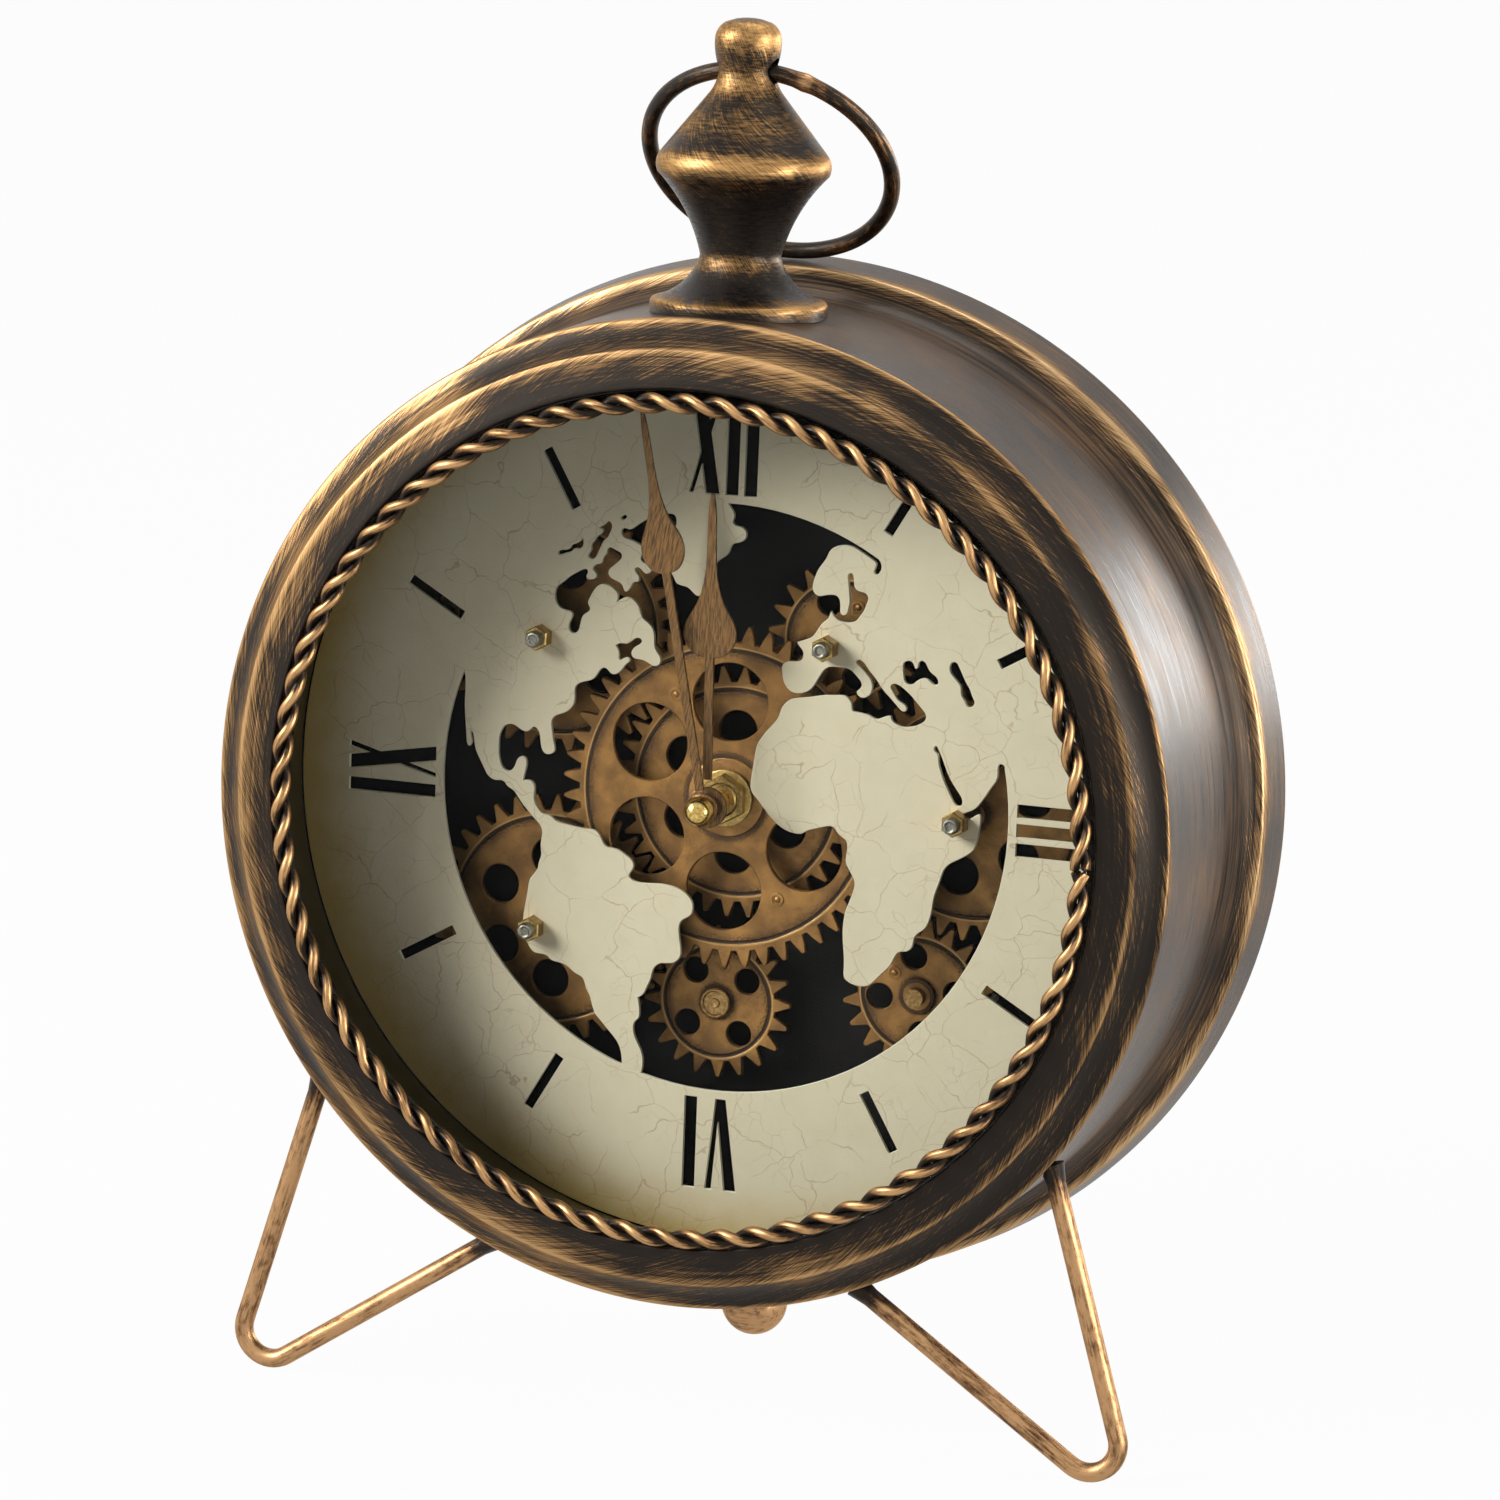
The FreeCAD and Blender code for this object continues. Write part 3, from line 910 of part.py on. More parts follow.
def axle_pin(x, z):
    """Turned pin from its head in front of the dial to the peened end behind the plate."""
    head_rear = -DIAL_NUT_THICK
    plate_rear = PLATE_Y + PLATE_THICK
    pin = rod(PIN_RADIUS, head_rear, plate_rear, x, z)
    head = rod(PIN_HEAD_RADIUS, head_rear - PIN_HEAD_LENGTH, head_rear, x, z)
    head = head.makeFillet(PIN_HEAD_RADIUS / 4, [front_edge(head)])
    peen = rod(PIN_PEEN_RADIUS, plate_rear, plate_rear + PIN_PEEN_LENGTH, x, z)
    return pin.fuse([head, peen])


def front_edge(solid):
    """The round edge of a rod that lies nearest the viewer."""
    return min(solid.Edges, key=lambda edge: edge.BoundBox.YMax)


def dial_nut(x, z):
    nut = hexagon(DIAL_NUT_ACROSS, -DIAL_NUT_THICK, 0, x, z)
    return nut.cut(rod(PIN_RADIUS, -DIAL_NUT_THICK, 0, x, z))


def spacers(x, z):
    front = tube(SPACER_RADIUS, PIN_RADIUS, DIAL_THICK, hub_front_y() - END_PLAY, x, z)
    return [front, rear_spacer(x, z)]


def rear_spacer(x, z):
    return tube(SPACER_RADIUS, PIN_RADIUS, hub_rear_y() + END_PLAY, PLATE_Y, x, z)


def stub_axle():
    """Headed pin that carries the bottom gear on the plate alone."""
    x, z = gear_places()["bottom_gear"][:2]
    head_rear = hub_front_y() - END_PLAY
    plate_rear = PLATE_Y + PLATE_THICK
    head = rod(STUB_HEAD_RADIUS, head_rear - STUB_HEAD_THICK, head_rear, x, z)
    pin = rod(PIN_RADIUS, head_rear, plate_rear, x, z)
    peen = rod(PIN_PEEN_RADIUS, plate_rear, plate_rear + PIN_PEEN_LENGTH, x, z)
    return pin.fuse([head, peen])


def gear_plate():
    plate = rod(PLATE_RADIUS, PLATE_Y, PLATE_Y + PLATE_THICK)
    places = gear_places()
    span = (PLATE_Y, PLATE_Y + PLATE_THICK)
    holes = [rod(BUSH_RADIUS, *span)]
    holes += [rod(PIN_RADIUS, *span, *place) for place in axle_places().values()]
    holes.append(rod(PIN_RADIUS, *span, *places["bottom_gear"][:2]))
    shaft_bore = MOTOR_SHAFT_RADIUS + RUNNING_CLEARANCE
    holes.append(rod(shaft_bore, *span, *places["lower_right_gear"][:2]))
    holes += [rod(SCREW_RADIUS, *span, *polar(PLATE_SCREW_CIRCLE, a)) for a in plate_screw_angles()]
    holes += [rod(MOTOR_SCREW_RADIUS, *span, *place) for place in motor_screw_places()]
    return plate.cut(holes)


# Gear motor

def motor_screw_places():
    x, z = gear_places()["lower_right_gear"][:2]
    return [(x - MOTOR_EAR_SPAN, z), (x + MOTOR_EAR_SPAN, z)]


def gear_motor():
    x, z = gear_places()["lower_right_gear"][:2]
    front = PLATE_Y + PLATE_THICK
    can = rod(MOTOR_RADIUS, front, front + MOTOR_LENGTH, x, z)
    ears_width = 2 * MOTOR_EAR_SPAN + MOTOR_EAR_WIDTH
    ears = block(ears_width, front, front + MOTOR_EAR_THICK, MOTOR_EAR_WIDTH, x, z)
    seat = front + MOTOR_SHAFT_SEAT + END_PLAY
    holes = [rod(MOTOR_SHAFT_RADIUS + RUNNING_CLEARANCE, front, seat, x, z)]
    for place in motor_screw_places():
        holes.append(rod(MOTOR_SCREW_RADIUS, front, front + MOTOR_EAR_THICK, *place))
    return can.fuse(ears).cut(holes)


def motor_shaft():
    x, z = gear_places()["lower_right_gear"][:2]
    rear = PLATE_Y + PLATE_THICK + MOTOR_SHAFT_SEAT
    return rod(MOTOR_SHAFT_RADIUS, hub_front_y() - MOTOR_SHAFT_REACH, rear, x, z)


def screw(x, z, radius, head_radius, head_span, tip_y):
    """Screw along y; head_span is the head's two depths, nearest the shank last."""
    head = rod(head_radius, min(head_span), max(head_span), x, z)
    shank = rod(radius, min(head_span[1], tip_y), max(head_span[1], tip_y), x, z)
    return head.fuse(shank)


def motor_screws():
    ear_rear = PLATE_Y + PLATE_THICK + MOTOR_EAR_THICK
    head_span = (ear_rear + MOTOR_SCREW_HEAD, ear_rear)
    sizes = (MOTOR_SCREW_RADIUS, MOTOR_SCREW_HEAD_RADIUS, head_span, PLATE_Y)
    return [screw(*place, *sizes) for place in motor_screw_places()]


def plate_screws():
    lug_rear = PLATE_Y + PLATE_THICK + LUG_THICK
    head_span = (PLATE_Y - SCREW_HEAD_HEIGHT, PLATE_Y)
    places = [polar(PLATE_SCREW_CIRCLE, a) for a in plate_screw_angles()]
    sizes = (SCREW_RADIUS, SCREW_HEAD_RADIUS, head_span, lug_rear)
    return [screw(*place, *sizes) for place in places]


# Centre stack

def hub_nut_rear_y():
    return FRONT_GEAR_Y - FRONT_BOSS_RISE - END_PLAY - HUB_WASHER_THICK


def movement_bush():
    bore = HOUR_TUBE_RADIUS + RUNNING_CLEARANCE
    return tube(BUSH_RADIUS, bore, BUSH_FRONT_Y, PLATE_Y + PLATE_THICK)


def hub_washer():
    rear = hub_nut_rear_y() + HUB_WASHER_THICK
    return tube(HUB_WASHER_RADIUS, BUSH_RADIUS, hub_nut_rear_y(), rear)


def hub_nut():
    span = (hub_nut_rear_y() - HUB_NUT_THICK, hub_nut_rear_y())
    return hexagon(HUB_NUT_ACROSS, *span).cut(rod(BUSH_RADIUS, *span))


def movement_front_y():
    return PLATE_Y + PLATE_THICK


def hour_tube():
    bore = MINUTE_SHAFT_RADIUS + RUNNING_CLEARANCE
    rear = movement_front_y() + MOVEMENT_BORE_DEPTH - END_PLAY
    return tube(HOUR_TUBE_RADIUS, bore, HOUR_HAND_Y - BOSS_RISE, rear)


def minute_shaft():
    rear = movement_front_y() + MOVEMENT_BORE_DEPTH - END_PLAY
    front = MINUTE_HAND_Y - BOSS_RISE - CAP_BORE_DEPTH
    return rod(MINUTE_SHAFT_RADIUS, front, rear)


def hand(y_front, foot, tip, bulge_width, boss_radius, bore, turn_deg):
    """Flat hand that points to twelve before it is turned clockwise."""
    half = bulge_width / 2
    stem = HAND_STEM_WIDTH / 2
    right = [V(stem, y_front, foot)]
    right += [V(half * w, y_front, foot + s * (tip - foot)) for s, w in HAND_OUTLINE_SHARES]
    left = [V(-point.x, y_front, point.z) for point in right]
    right_side = Part.BSplineCurve()
    right_side.interpolate(right)
    left_side = Part.BSplineCurve()
    left_side.interpolate(left[::-1])
    edges = [
        line(V(-stem, y_front, 0), V(stem, y_front, 0)),
        line(V(stem, y_front, 0), right[0]),
        right_side.toShape(),
        line(right[-1], left[-1]),
        left_side.toShape(),
        line(left[0], V(-stem, y_front, 0)),
    ]
    blade = Part.Face(Part.Wire(edges)).extrude(V(0, HAND_THICK, 0))
    boss = rod(boss_radius, y_front - BOSS_RISE, y_front + HAND_THICK + BOSS_RISE)
    solid = blade.fuse(boss)
    solid = solid.cut(rod(bore, y_front - BOSS_RISE, y_front + HAND_THICK + BOSS_RISE))
    solid.rotate(V(0, 0, 0), AXIS_Y, turn_deg)
    return solid


def hour_hand():
    sizes = (HOUR_BULGE_BASE, HOUR_TIP, HOUR_BULGE_WIDTH, HOUR_BOSS_RADIUS)
    return hand(HOUR_HAND_Y, *sizes, HOUR_TUBE_RADIUS, -HOUR_HAND_DEG)


def minute_hand():
    sizes = (MINUTE_BULGE_BASE, MINUTE_TIP, MINUTE_BULGE_WIDTH, MINUTE_BOSS_RADIUS)
    solid = hand(MINUTE_HAND_Y, *sizes, MINUTE_SHAFT_RADIUS, -MINUTE_HAND_DEG)
    boss_rear = MINUTE_HAND_Y + HAND_THICK + BOSS_RISE
    collet = tube(MINUTE_COLLET_RADIUS, MINUTE_SHAFT_RADIUS, boss_rear, boss_rear + MINUTE_COLLET_LENGTH)
    return solid.fuse(collet)


def cap_nut():
    """Ball nut on the end of the minute shaft."""
    seat = MINUTE_HAND_Y - BOSS_RISE
    ball = Part.makeSphere(CAP_BALL_RADIUS, V(0, seat - CAP_BALL_LIFT, 0))
    ball = ball.cut(rod(CAP_BALL_RADIUS, seat, seat + CAP_BALL_RADIUS))
    return ball.cut(rod(MINUTE_SHAFT_RADIUS, seat - CAP_BORE_DEPTH, seat))


# Quartz movement behind the plate

def cell(x, y, z):
    """Dry cell lying along x, with its nub."""
    body = Part.makeCylinder(CELL_RADIUS, CELL_LENGTH, V(x - CELL_LENGTH / 2, y, z), AXIS_X)
    nub_start = V(x + CELL_LENGTH / 2, y, z)
    return body.fuse(Part.makeCylinder(CELL_NUB_RADIUS, CELL_NUB_LENGTH, nub_start, AXIS_X))


def movement_case():
    front = movement_front_y()
    rear = front + MOVEMENT_DEPTH
    body = block(MOVEMENT_WIDTH, front, rear, MOVEMENT_WIDTH)
    corners = [edge for edge in body.Edges if abs(edge.tangentAt(0).y) > 1 / 2]
    body = body.makeFillet(MOVEMENT_CORNER, corners)
    trough = block(TROUGH_LENGTH, front + TROUGH_FLOOR, rear, TROUGH_HEIGHT, 0, -TROUGH_DROP)
    hand_bore = rod(HOUR_TUBE_RADIUS + RUNNING_CLEARANCE, front, front + MOVEMENT_BORE_DEPTH)
    knob_bore = rod(KNOB_SHAFT_RADIUS + RUNNING_CLEARANCE, rear - KNOB_SHAFT_SEAT - END_PLAY, rear)
    return body.cut([trough, hand_bore, knob_bore])


def cell_axis_y():
    return movement_front_y() + TROUGH_FLOOR + END_PLAY + CELL_RADIUS


def movement_battery():
    return cell(0, cell_axis_y(), -TROUGH_DROP)


def contact(x, z):
    y = cell_axis_y()
    return block(CONTACT_THICK, y - CONTACT_WIDTH / 2, y + CONTACT_WIDTH / 2, CONTACT_WIDTH, x, z)


def movement_contacts():
    reach = (TROUGH_LENGTH - CONTACT_THICK) / 2
    return [contact(side * reach, -TROUGH_DROP) for side in (-1, 1)]


def setting_knob():
    rear = movement_front_y() + MOVEMENT_DEPTH
    knob = rod(KNOB_RADIUS, rear + END_PLAY, rear + END_PLAY + KNOB_THICK)
    return knob.fuse(rod(KNOB_SHAFT_RADIUS, rear - KNOB_SHAFT_SEAT, rear + END_PLAY))


# Battery box of the gear motor

def pod_x():
    return BOX_X - (BOX_LENGTH + SWITCH_POD) / 2


def box_z():
    return gear_places()["bottom_gear"][1] - BOX_AXLE_GAP - BOX_HEIGHT / 2


def battery_box():
    front = movement_front_y()
    rear = front + BOX_DEPTH
    box = block(BOX_LENGTH, front, rear, BOX_HEIGHT, BOX_X, box_z())
    hollow_length = BOX_LENGTH - 2 * BOX_WALL
    hollow_height = BOX_HEIGHT - 2 * BOX_WALL
    hollow = block(hollow_length, front + TROUGH_FLOOR, rear, hollow_height, BOX_X, box_z())
    pod = block(SWITCH_POD, front, rear, BOX_HEIGHT, pod_x(), box_z())
    slot_width = SWITCH_WIDTH + 2 * END_PLAY
    slot_length = SWITCH_LENGTH + SWITCH_TRAVEL + 2 * END_PLAY
    slot = block(slot_width, rear - SWITCH_SLOT_DEPTH, rear, slot_length, pod_x(), box_z())
    return box.fuse(pod).removeSplitter().cut([hollow, slot])


def box_cell_heights():
    step = CELL_RADIUS + END_PLAY
    return [box_z() - step, box_z() + step]


def box_batteries():
    return [cell(BOX_X, cell_axis_y(), z) for z in box_cell_heights()]


def box_contacts():
    reach = BOX_LENGTH / 2 - BOX_WALL - CONTACT_THICK / 2
    return [contact(BOX_X + side * reach, z) for side in (-1, 1) for z in box_cell_heights()]


def battery_lid():
    rear = movement_front_y() + BOX_DEPTH
    return block(BOX_LENGTH, rear + END_PLAY, rear + END_PLAY + LID_THICK, BOX_HEIGHT, BOX_X, box_z())


def switch_slider():
    rear = movement_front_y() + BOX_DEPTH
    start_z = box_z() - SWITCH_TRAVEL / 2
    front = rear - SWITCH_SLOT_DEPTH + END_PLAY
    return block(SWITCH_WIDTH, front, rear + SWITCH_RISE, SWITCH_LENGTH, pod_x(), start_z)


# Back cover

def back_cover():
    rear = COVER_Y + COVER_THICK
    cover = rod(COVER_RADIUS, COVER_Y, rear)
    movement_span = MOVEMENT_WIDTH + 2 * WINDOW_MARGIN
    box_span = BOX_LENGTH + SWITCH_POD + 2 * WINDOW_MARGIN
    box_middle = BOX_X - SWITCH_POD / 2
    windows = [
        block(movement_span, COVER_Y, rear, movement_span),
        block(box_span, COVER_Y, rear, BOX_HEIGHT + 2 * WINDOW_MARGIN, box_middle, box_z()),
    ]
    places = [polar(COVER_SCREW_CIRCLE, a) for a in cover_screw_angles()]
    return cover.cut(windows + [rod(SCREW_RADIUS, COVER_Y, rear, *place) for place in places])


def cover_screws():
    cover_rear = COVER_Y + COVER_THICK
    head_span = (cover_rear + SCREW_HEAD_HEIGHT, cover_rear)
    places = [polar(COVER_SCREW_CIRCLE, a) for a in cover_screw_angles()]
    sizes = (SCREW_RADIUS, SCREW_HEAD_RADIUS, head_span, COVER_Y - LUG_THICK)
    return [screw(*place, *sizes) for place in places]


# Finial and bail ring

def finial_height(height):
    """Height above the drum's axis of a height above the drum's side."""
    return BAND_FRONT_RADIUS + height


def finial():
    rim_start = V(FINIAL_RIM_RADIUS, 0, finial_height(FINIAL_RIM_HEIGHT))
    rim_end = rim_start.add(V(-FINIAL_RIM_ROUND, 0, FINIAL_RIM_ROUND))
    rim_inset = FINIAL_RIM_ROUND * (1 - math.sqrt(1 / 2))
    rim_middle = V(FINIAL_RIM_RADIUS - rim_inset, 0, rim_end.z - rim_inset)
    waist = V(FINIAL_WAIST_RADIUS, 0, finial_height(FINIAL_WAIST_HEIGHT))
    foot_radius = FINIAL_WAIST_RADIUS + (rim_end.x - waist.x) / 4
    foot = V(foot_radius, 0, (rim_end.z + waist.z) / 2)
    crease = V(FINIAL_CREASE_RADIUS, 0, finial_height(FINIAL_CREASE_HEIGHT))
    waist_flank = V((waist.x * 2 + crease.x) / 3, 0, (waist.z + crease.z) / 2)
    shoulder = V(FINIAL_SHOULDER_RADIUS, 0, finial_height(FINIAL_SHOULDER_HEIGHT))
    cone_top = V(FINIAL_CONE_RADIUS, 0, finial_height(FINIAL_CONE_HEIGHT))
    throat = V(FINIAL_THROAT_RADIUS, 0, finial_height(FINIAL_THROAT_HEIGHT))
    neck = V(FINIAL_NECK_RADIUS, 0, ring_axis_z())
    throat_middle = V((throat.x + neck.x * 3) / 4, 0, (throat.z + neck.z) / 2)
    top = V(0, 0, finial_height(FINIAL_TOP_HEIGHT))
    rise = top.z - neck.z
    ball_points = [V(FINIAL_BALL_RADIUS * r, 0, neck.z + rise * h) for r, h in FINIAL_BALL_SHARES]
    ball = Part.BSplineCurve()
    ball.interpolate([neck] + ball_points + [top])
    edges = [
        line(V(0, 0, 0), V(FINIAL_RIM_RADIUS, 0, 0)),
        line(V(FINIAL_RIM_RADIUS, 0, 0), rim_start),
        arc(rim_start, rim_middle, rim_end),
        arc(rim_end, foot, waist),
        arc(waist, waist_flank, crease),
        arc(crease, shoulder, cone_top),
        line(cone_top, throat),
        arc(throat, throat_middle, neck),
        ball.toShape(),
        line(top, V(0, 0, 0)),
    ]
    body = revolved(edges, AXIS_Z)
    hole_start = V(-FINIAL_RIM_RADIUS, 0, ring_axis_z())
    hole = Part.makeCylinder(ring_hole_radius(), 2 * FINIAL_RIM_RADIUS, hole_start, AXIS_X)
    return body.cut([hole, drum_solid()])


def ring_axis_z():
    return finial_height(FINIAL_NECK_HEIGHT)


def ring_hole_radius():
    """Hole that lets the ring's bent wire through the neck."""
    bow = FINIAL_NECK_RADIUS ** 2 / (2 * RING_RADIUS)
    return RING_WIRE_RADIUS + bow + RING_HOLE_GAP


def ring_rest_deg():
    """How far back from straight down the ring hangs when it lies on the drum's rear band."""
    angle = 0
    for _ in range(RING_SETTLE_STEPS):
        far_y = 2 * RING_RADIUS * math.sin(angle)
        top = band_radius(far_y) + RING_WIRE_RADIUS + RING_REST_GAP
        angle = (angle + math.acos((ring_axis_z() - top) / (2 * RING_RADIUS))) / 2
    return math.degrees(angle)


def bail_ring():
    centre = V(0, 0, ring_axis_z() - RING_RADIUS)
    ring = Part.makeTorus(RING_RADIUS, RING_WIRE_RADIUS, centre, AXIS_Y)
    ring.rotate(V(0, 0, ring_axis_z()), AXIS_X, ring_rest_deg())
    return ring


# Legs and ball foot

def leg_point(height, angle_deg):
    """Point in the leg's plane, given its height above the drum's side."""
    x, z = polar(band_radius(LEG_Y) + height, angle_deg)
    return V(x, LEG_Y, z)


def leg_route():
    """Start of the wire, both ends and the middle of its bend, and its end, at +x."""
    corner = leg_point(LEG_REACH, LEG_CORNER_DEG)
    outer = leg_point(-LEG_SINK, LEG_OUTER_DEG)
    inner = leg_point(-LEG_SINK, LEG_INNER_DEG)
    to_outer = outer.sub(corner).normalize()
    to_inner = inner.sub(corner).normalize()
    half = math.acos(to_outer.dot(to_inner)) / 2
    bisector = to_outer.add(to_inner).normalize()
    centre = corner.add(V(bisector).multiply(LEG_BEND_RADIUS / math.sin(half)))
    back = LEG_BEND_RADIUS / math.tan(half)
    bend_start = corner.add(V(to_outer).multiply(back))
    bend_end = corner.add(V(to_inner).multiply(back))
    bend_middle = centre.sub(V(bisector).multiply(LEG_BEND_RADIUS))
    return outer, bend_start, bend_middle, bend_end, inner, centre


def leg(side):
    outer, bend_start, bend_middle, bend_end, inner, _ = leg_route()
    path = Part.Wire([
        line(outer, bend_start),
        arc(bend_start, bend_middle, bend_end),
        line(bend_end, inner),
    ])
    way = bend_start.sub(outer)
    circle = Part.Wire([Part.Circle(outer, way, LEG_WIRE_RADIUS).toShape()])
    wire = path.makePipeShell([circle], True, True)
    wire = wire.cut(drum_solid())
    if side < 0:
        wire = wire.mirror(V(0, 0, 0), AXIS_X)
    return wire


def floor_height():
    """Height of the table in the drum's own axes, measured square to the table."""
    centre_z = leg_route()[-1].z
    lean = math.radians(LEAN_DEG)
    lowest = (centre_z - LEG_BEND_RADIUS) * math.cos(lean) - LEG_Y * math.sin(lean)
    return lowest - LEG_WIRE_RADIUS


def ball_foot():
    """Ball that fills the way from the drum's rear band to the table."""
    lean = math.radians(LEAN_DEG)
    rim_slope = math.atan2(REAR_EDGE_RADIUS - REAR_CREST_RADIUS, REAR_EDGE_Y - REAR_CREST_Y)
    band = band_radius(BALL_FOOT_Y) + WELD_GAP / math.cos(rim_slope)
    span = -floor_height() - BALL_FOOT_Y * math.sin(lean) - band * math.cos(lean)
    radius = span / (1 + math.cos(lean) / math.cos(rim_slope))
    return Part.makeSphere(radius, V(0, BALL_FOOT_Y, -band - radius / math.cos(rim_slope)))


# The clock in its own frame

def pieces():
    shaft_bore = PIN_RADIUS + RUNNING_CLEARANCE
    axles = list(axle_places().values())
    bottom = gear_places()["bottom_gear"][:2]
    parts = {
        "front_bezel": [front_bezel()],
        "case_body": [case_body()],
        "dial_cone": [dial_cone()],
        "glass": [glass()],
        "rope_trim": [rope_trim()],
        "dial_plate": [dial_plate()],
        "dial_nuts": [dial_nut(x, z) for x, z in axles],
        "axle_pins": [axle_pin(x, z) for x, z in axles],
        "axle_spacers": [s for x, z in axles for s in spacers(x, z)] + [rear_spacer(*bottom)],
        "stub_axle": [stub_axle()],
        "gear_plate": [gear_plate()],
        "plate_screws": plate_screws(),
        "centre_gear_front": [centre_gear_front()],
        "centre_gear_rear": [meshing_gear("centre_gear_rear", SLEEVE_RADIUS, 0)],
        "centre_sleeve": [centre_sleeve()],
        "lower_right_gear": [meshing_gear("lower_right_gear", MOTOR_SHAFT_RADIUS, MOTOR_HUB_RADIUS)],
        "motor_shaft": [motor_shaft()],
        "gear_motor": [gear_motor()],
        "motor_screws": motor_screws(),
        "movement_case": [movement_case()],
        "movement_bush": [movement_bush()],
        "movement_battery": [movement_battery()],
        "movement_contacts": movement_contacts(),
        "hub_washer": [hub_washer()],
        "hub_nut": [hub_nut()],
        "hour_tube": [hour_tube()],
        "hour_hand": [hour_hand()],
        "minute_shaft": [minute_shaft()],
        "minute_hand": [minute_hand()],
        "cap_nut": [cap_nut()],
        "setting_knob": [setting_knob()],
        "battery_box": [battery_box()],
        "box_batteries": box_batteries(),
        "box_contacts": box_contacts(),
        "battery_lid": [battery_lid()],
        "switch_slider": [switch_slider()],
        "back_cover": [back_cover()],
        "cover_screws": cover_screws(),
        "finial": [finial()],
        "bail_ring": [bail_ring()],
        "left_leg": [leg(-1)],
        "right_leg": [leg(1)],
        "ball_foot": [ball_foot()],
    }
    for name in ("upper_left_gear", "left_gear", "right_gear", "top_right_gear", "bottom_gear"):
        parts[name] = [meshing_gear(name, shaft_bore, GEAR_HUB_RADIUS)]
    return parts


def frame_shift():
    """Move from the leaned drum axes to the frame under the middle of the clock's depth."""
    lean = math.radians(LEAN_DEG)
    rope_y = glass_rear_y() - GLASS_THICK - ROPE_GAP - ROPE_RADIUS
    front = rope_y * math.cos(lean) - ROPE_RING_RADIUS * math.sin(lean) - ROPE_RADIUS
    round_y = REAR_EDGE_Y * math.cos(lean)
    round_z = (REAR_EDGE_RADIUS - REAR_ROUND_RADIUS) * math.sin(lean)
    rear = round_y + round_z + REAR_ROUND_RADIUS
    return V(0, -(front + rear) / 2, -floor_height())


def main():
    os.makedirs("parts", exist_ok=True)
    shift = frame_shift()
    for name, solids in pieces().items():
        placed = []
        for solid in solids:
            solid.rotate(V(0, 0, 0), AXIS_X, -LEAN_DEG)
            solid.translate(shift)
            placed.append(solid)
        shape = placed[0] if len(placed) == 1 else Part.makeCompound(placed)
        shape.exportStep("parts/" + name + ".step")


main()
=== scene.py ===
import bmesh
import bpy
import cmath
import math
from mathutils import Matrix, Vector, geometry


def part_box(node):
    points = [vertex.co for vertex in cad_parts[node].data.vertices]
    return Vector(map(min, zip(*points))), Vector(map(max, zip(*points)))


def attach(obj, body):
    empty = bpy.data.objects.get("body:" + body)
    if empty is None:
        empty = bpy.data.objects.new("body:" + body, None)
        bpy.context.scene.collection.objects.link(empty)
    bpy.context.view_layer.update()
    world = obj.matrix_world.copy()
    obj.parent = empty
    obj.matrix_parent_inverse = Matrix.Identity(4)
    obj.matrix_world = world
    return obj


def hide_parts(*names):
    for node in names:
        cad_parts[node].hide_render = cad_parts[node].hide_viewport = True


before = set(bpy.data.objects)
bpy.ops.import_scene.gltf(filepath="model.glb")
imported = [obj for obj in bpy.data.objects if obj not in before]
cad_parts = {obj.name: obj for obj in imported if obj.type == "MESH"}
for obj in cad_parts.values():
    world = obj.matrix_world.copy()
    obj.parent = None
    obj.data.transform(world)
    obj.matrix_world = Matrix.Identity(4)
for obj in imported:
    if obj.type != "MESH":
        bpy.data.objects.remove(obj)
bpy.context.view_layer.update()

# Shapes are drawn in the drum's own axes in millimetres: x to the right, y into the drum,
# z towards twelve, with the origin at the centre of the dial's front face.
MM = 0.001
LEAN = math.radians(5.0)
DIAL_THICK = 1.0
dial_low, dial_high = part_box("dial_plate")
SHIFT = (dial_low + dial_high) / 2 / MM
SHIFT -= Matrix.Rotation(-LEAN, 3, "X") @ Vector((0, DIAL_THICK / 2, 0))
TO_ROW = (
    Matrix.Scale(MM, 4)
    @ Matrix.Translation(SHIFT)
    @ Matrix.Rotation(-LEAN, 4, "X")
)
FROM_ROW = TO_ROW.inverted()

# Drum sheet: points are (y, radius), and the band flares a little from front to rear
DRUM_STEPS = 240
FACE_CREST = (-34.0, 115.5)
SIDE_CREST = (-28.8, 122.6)
BAND_FRONT = (-27.3, 122.0)
BAND_REAR = (25.7, 123.8)
REAR_CREST = (33.5, 130.3)
BAND_FRONT_Y = -27.6
BAND_FLARE = 1.8
BAND_DEPTH = 53.3
DIAL_RADIUS = 111.4
COVER_RADIUS = 125.5
COVER_Y = 47.0
COVER_THICK = 1.5

# Rope: two strands laid round each other, with a lump at their joint near half past nine
ROPE_TURNS = 38
ROPE_RING = 102.8
ROPE_STRAND = 1.3
ROPE_Y = -36.6
ROPE_JOINT = math.radians(165.5)

# Gears: two sizes in mesh, and one larger wheel in front of them that meshes with nothing
PITCH_PER_TOOTH = 0.9
ADDENDUM = 1.4
DEDENDUM = 2.6
TOOTH_ROOT_WIDTH = 3.6
TOOTH_TIP_WIDTH = 1.0
LARGE_TEETH = 34
SMALL_TEETH = 20
FRONT_TEETH = 50
GEAR_THICK = 1.6
REAR_GEAR_Y = 12.0
FRONT_GEAR_Y = 5.0
HUB_RISE = 1.0
HUB_SINK = 0.3

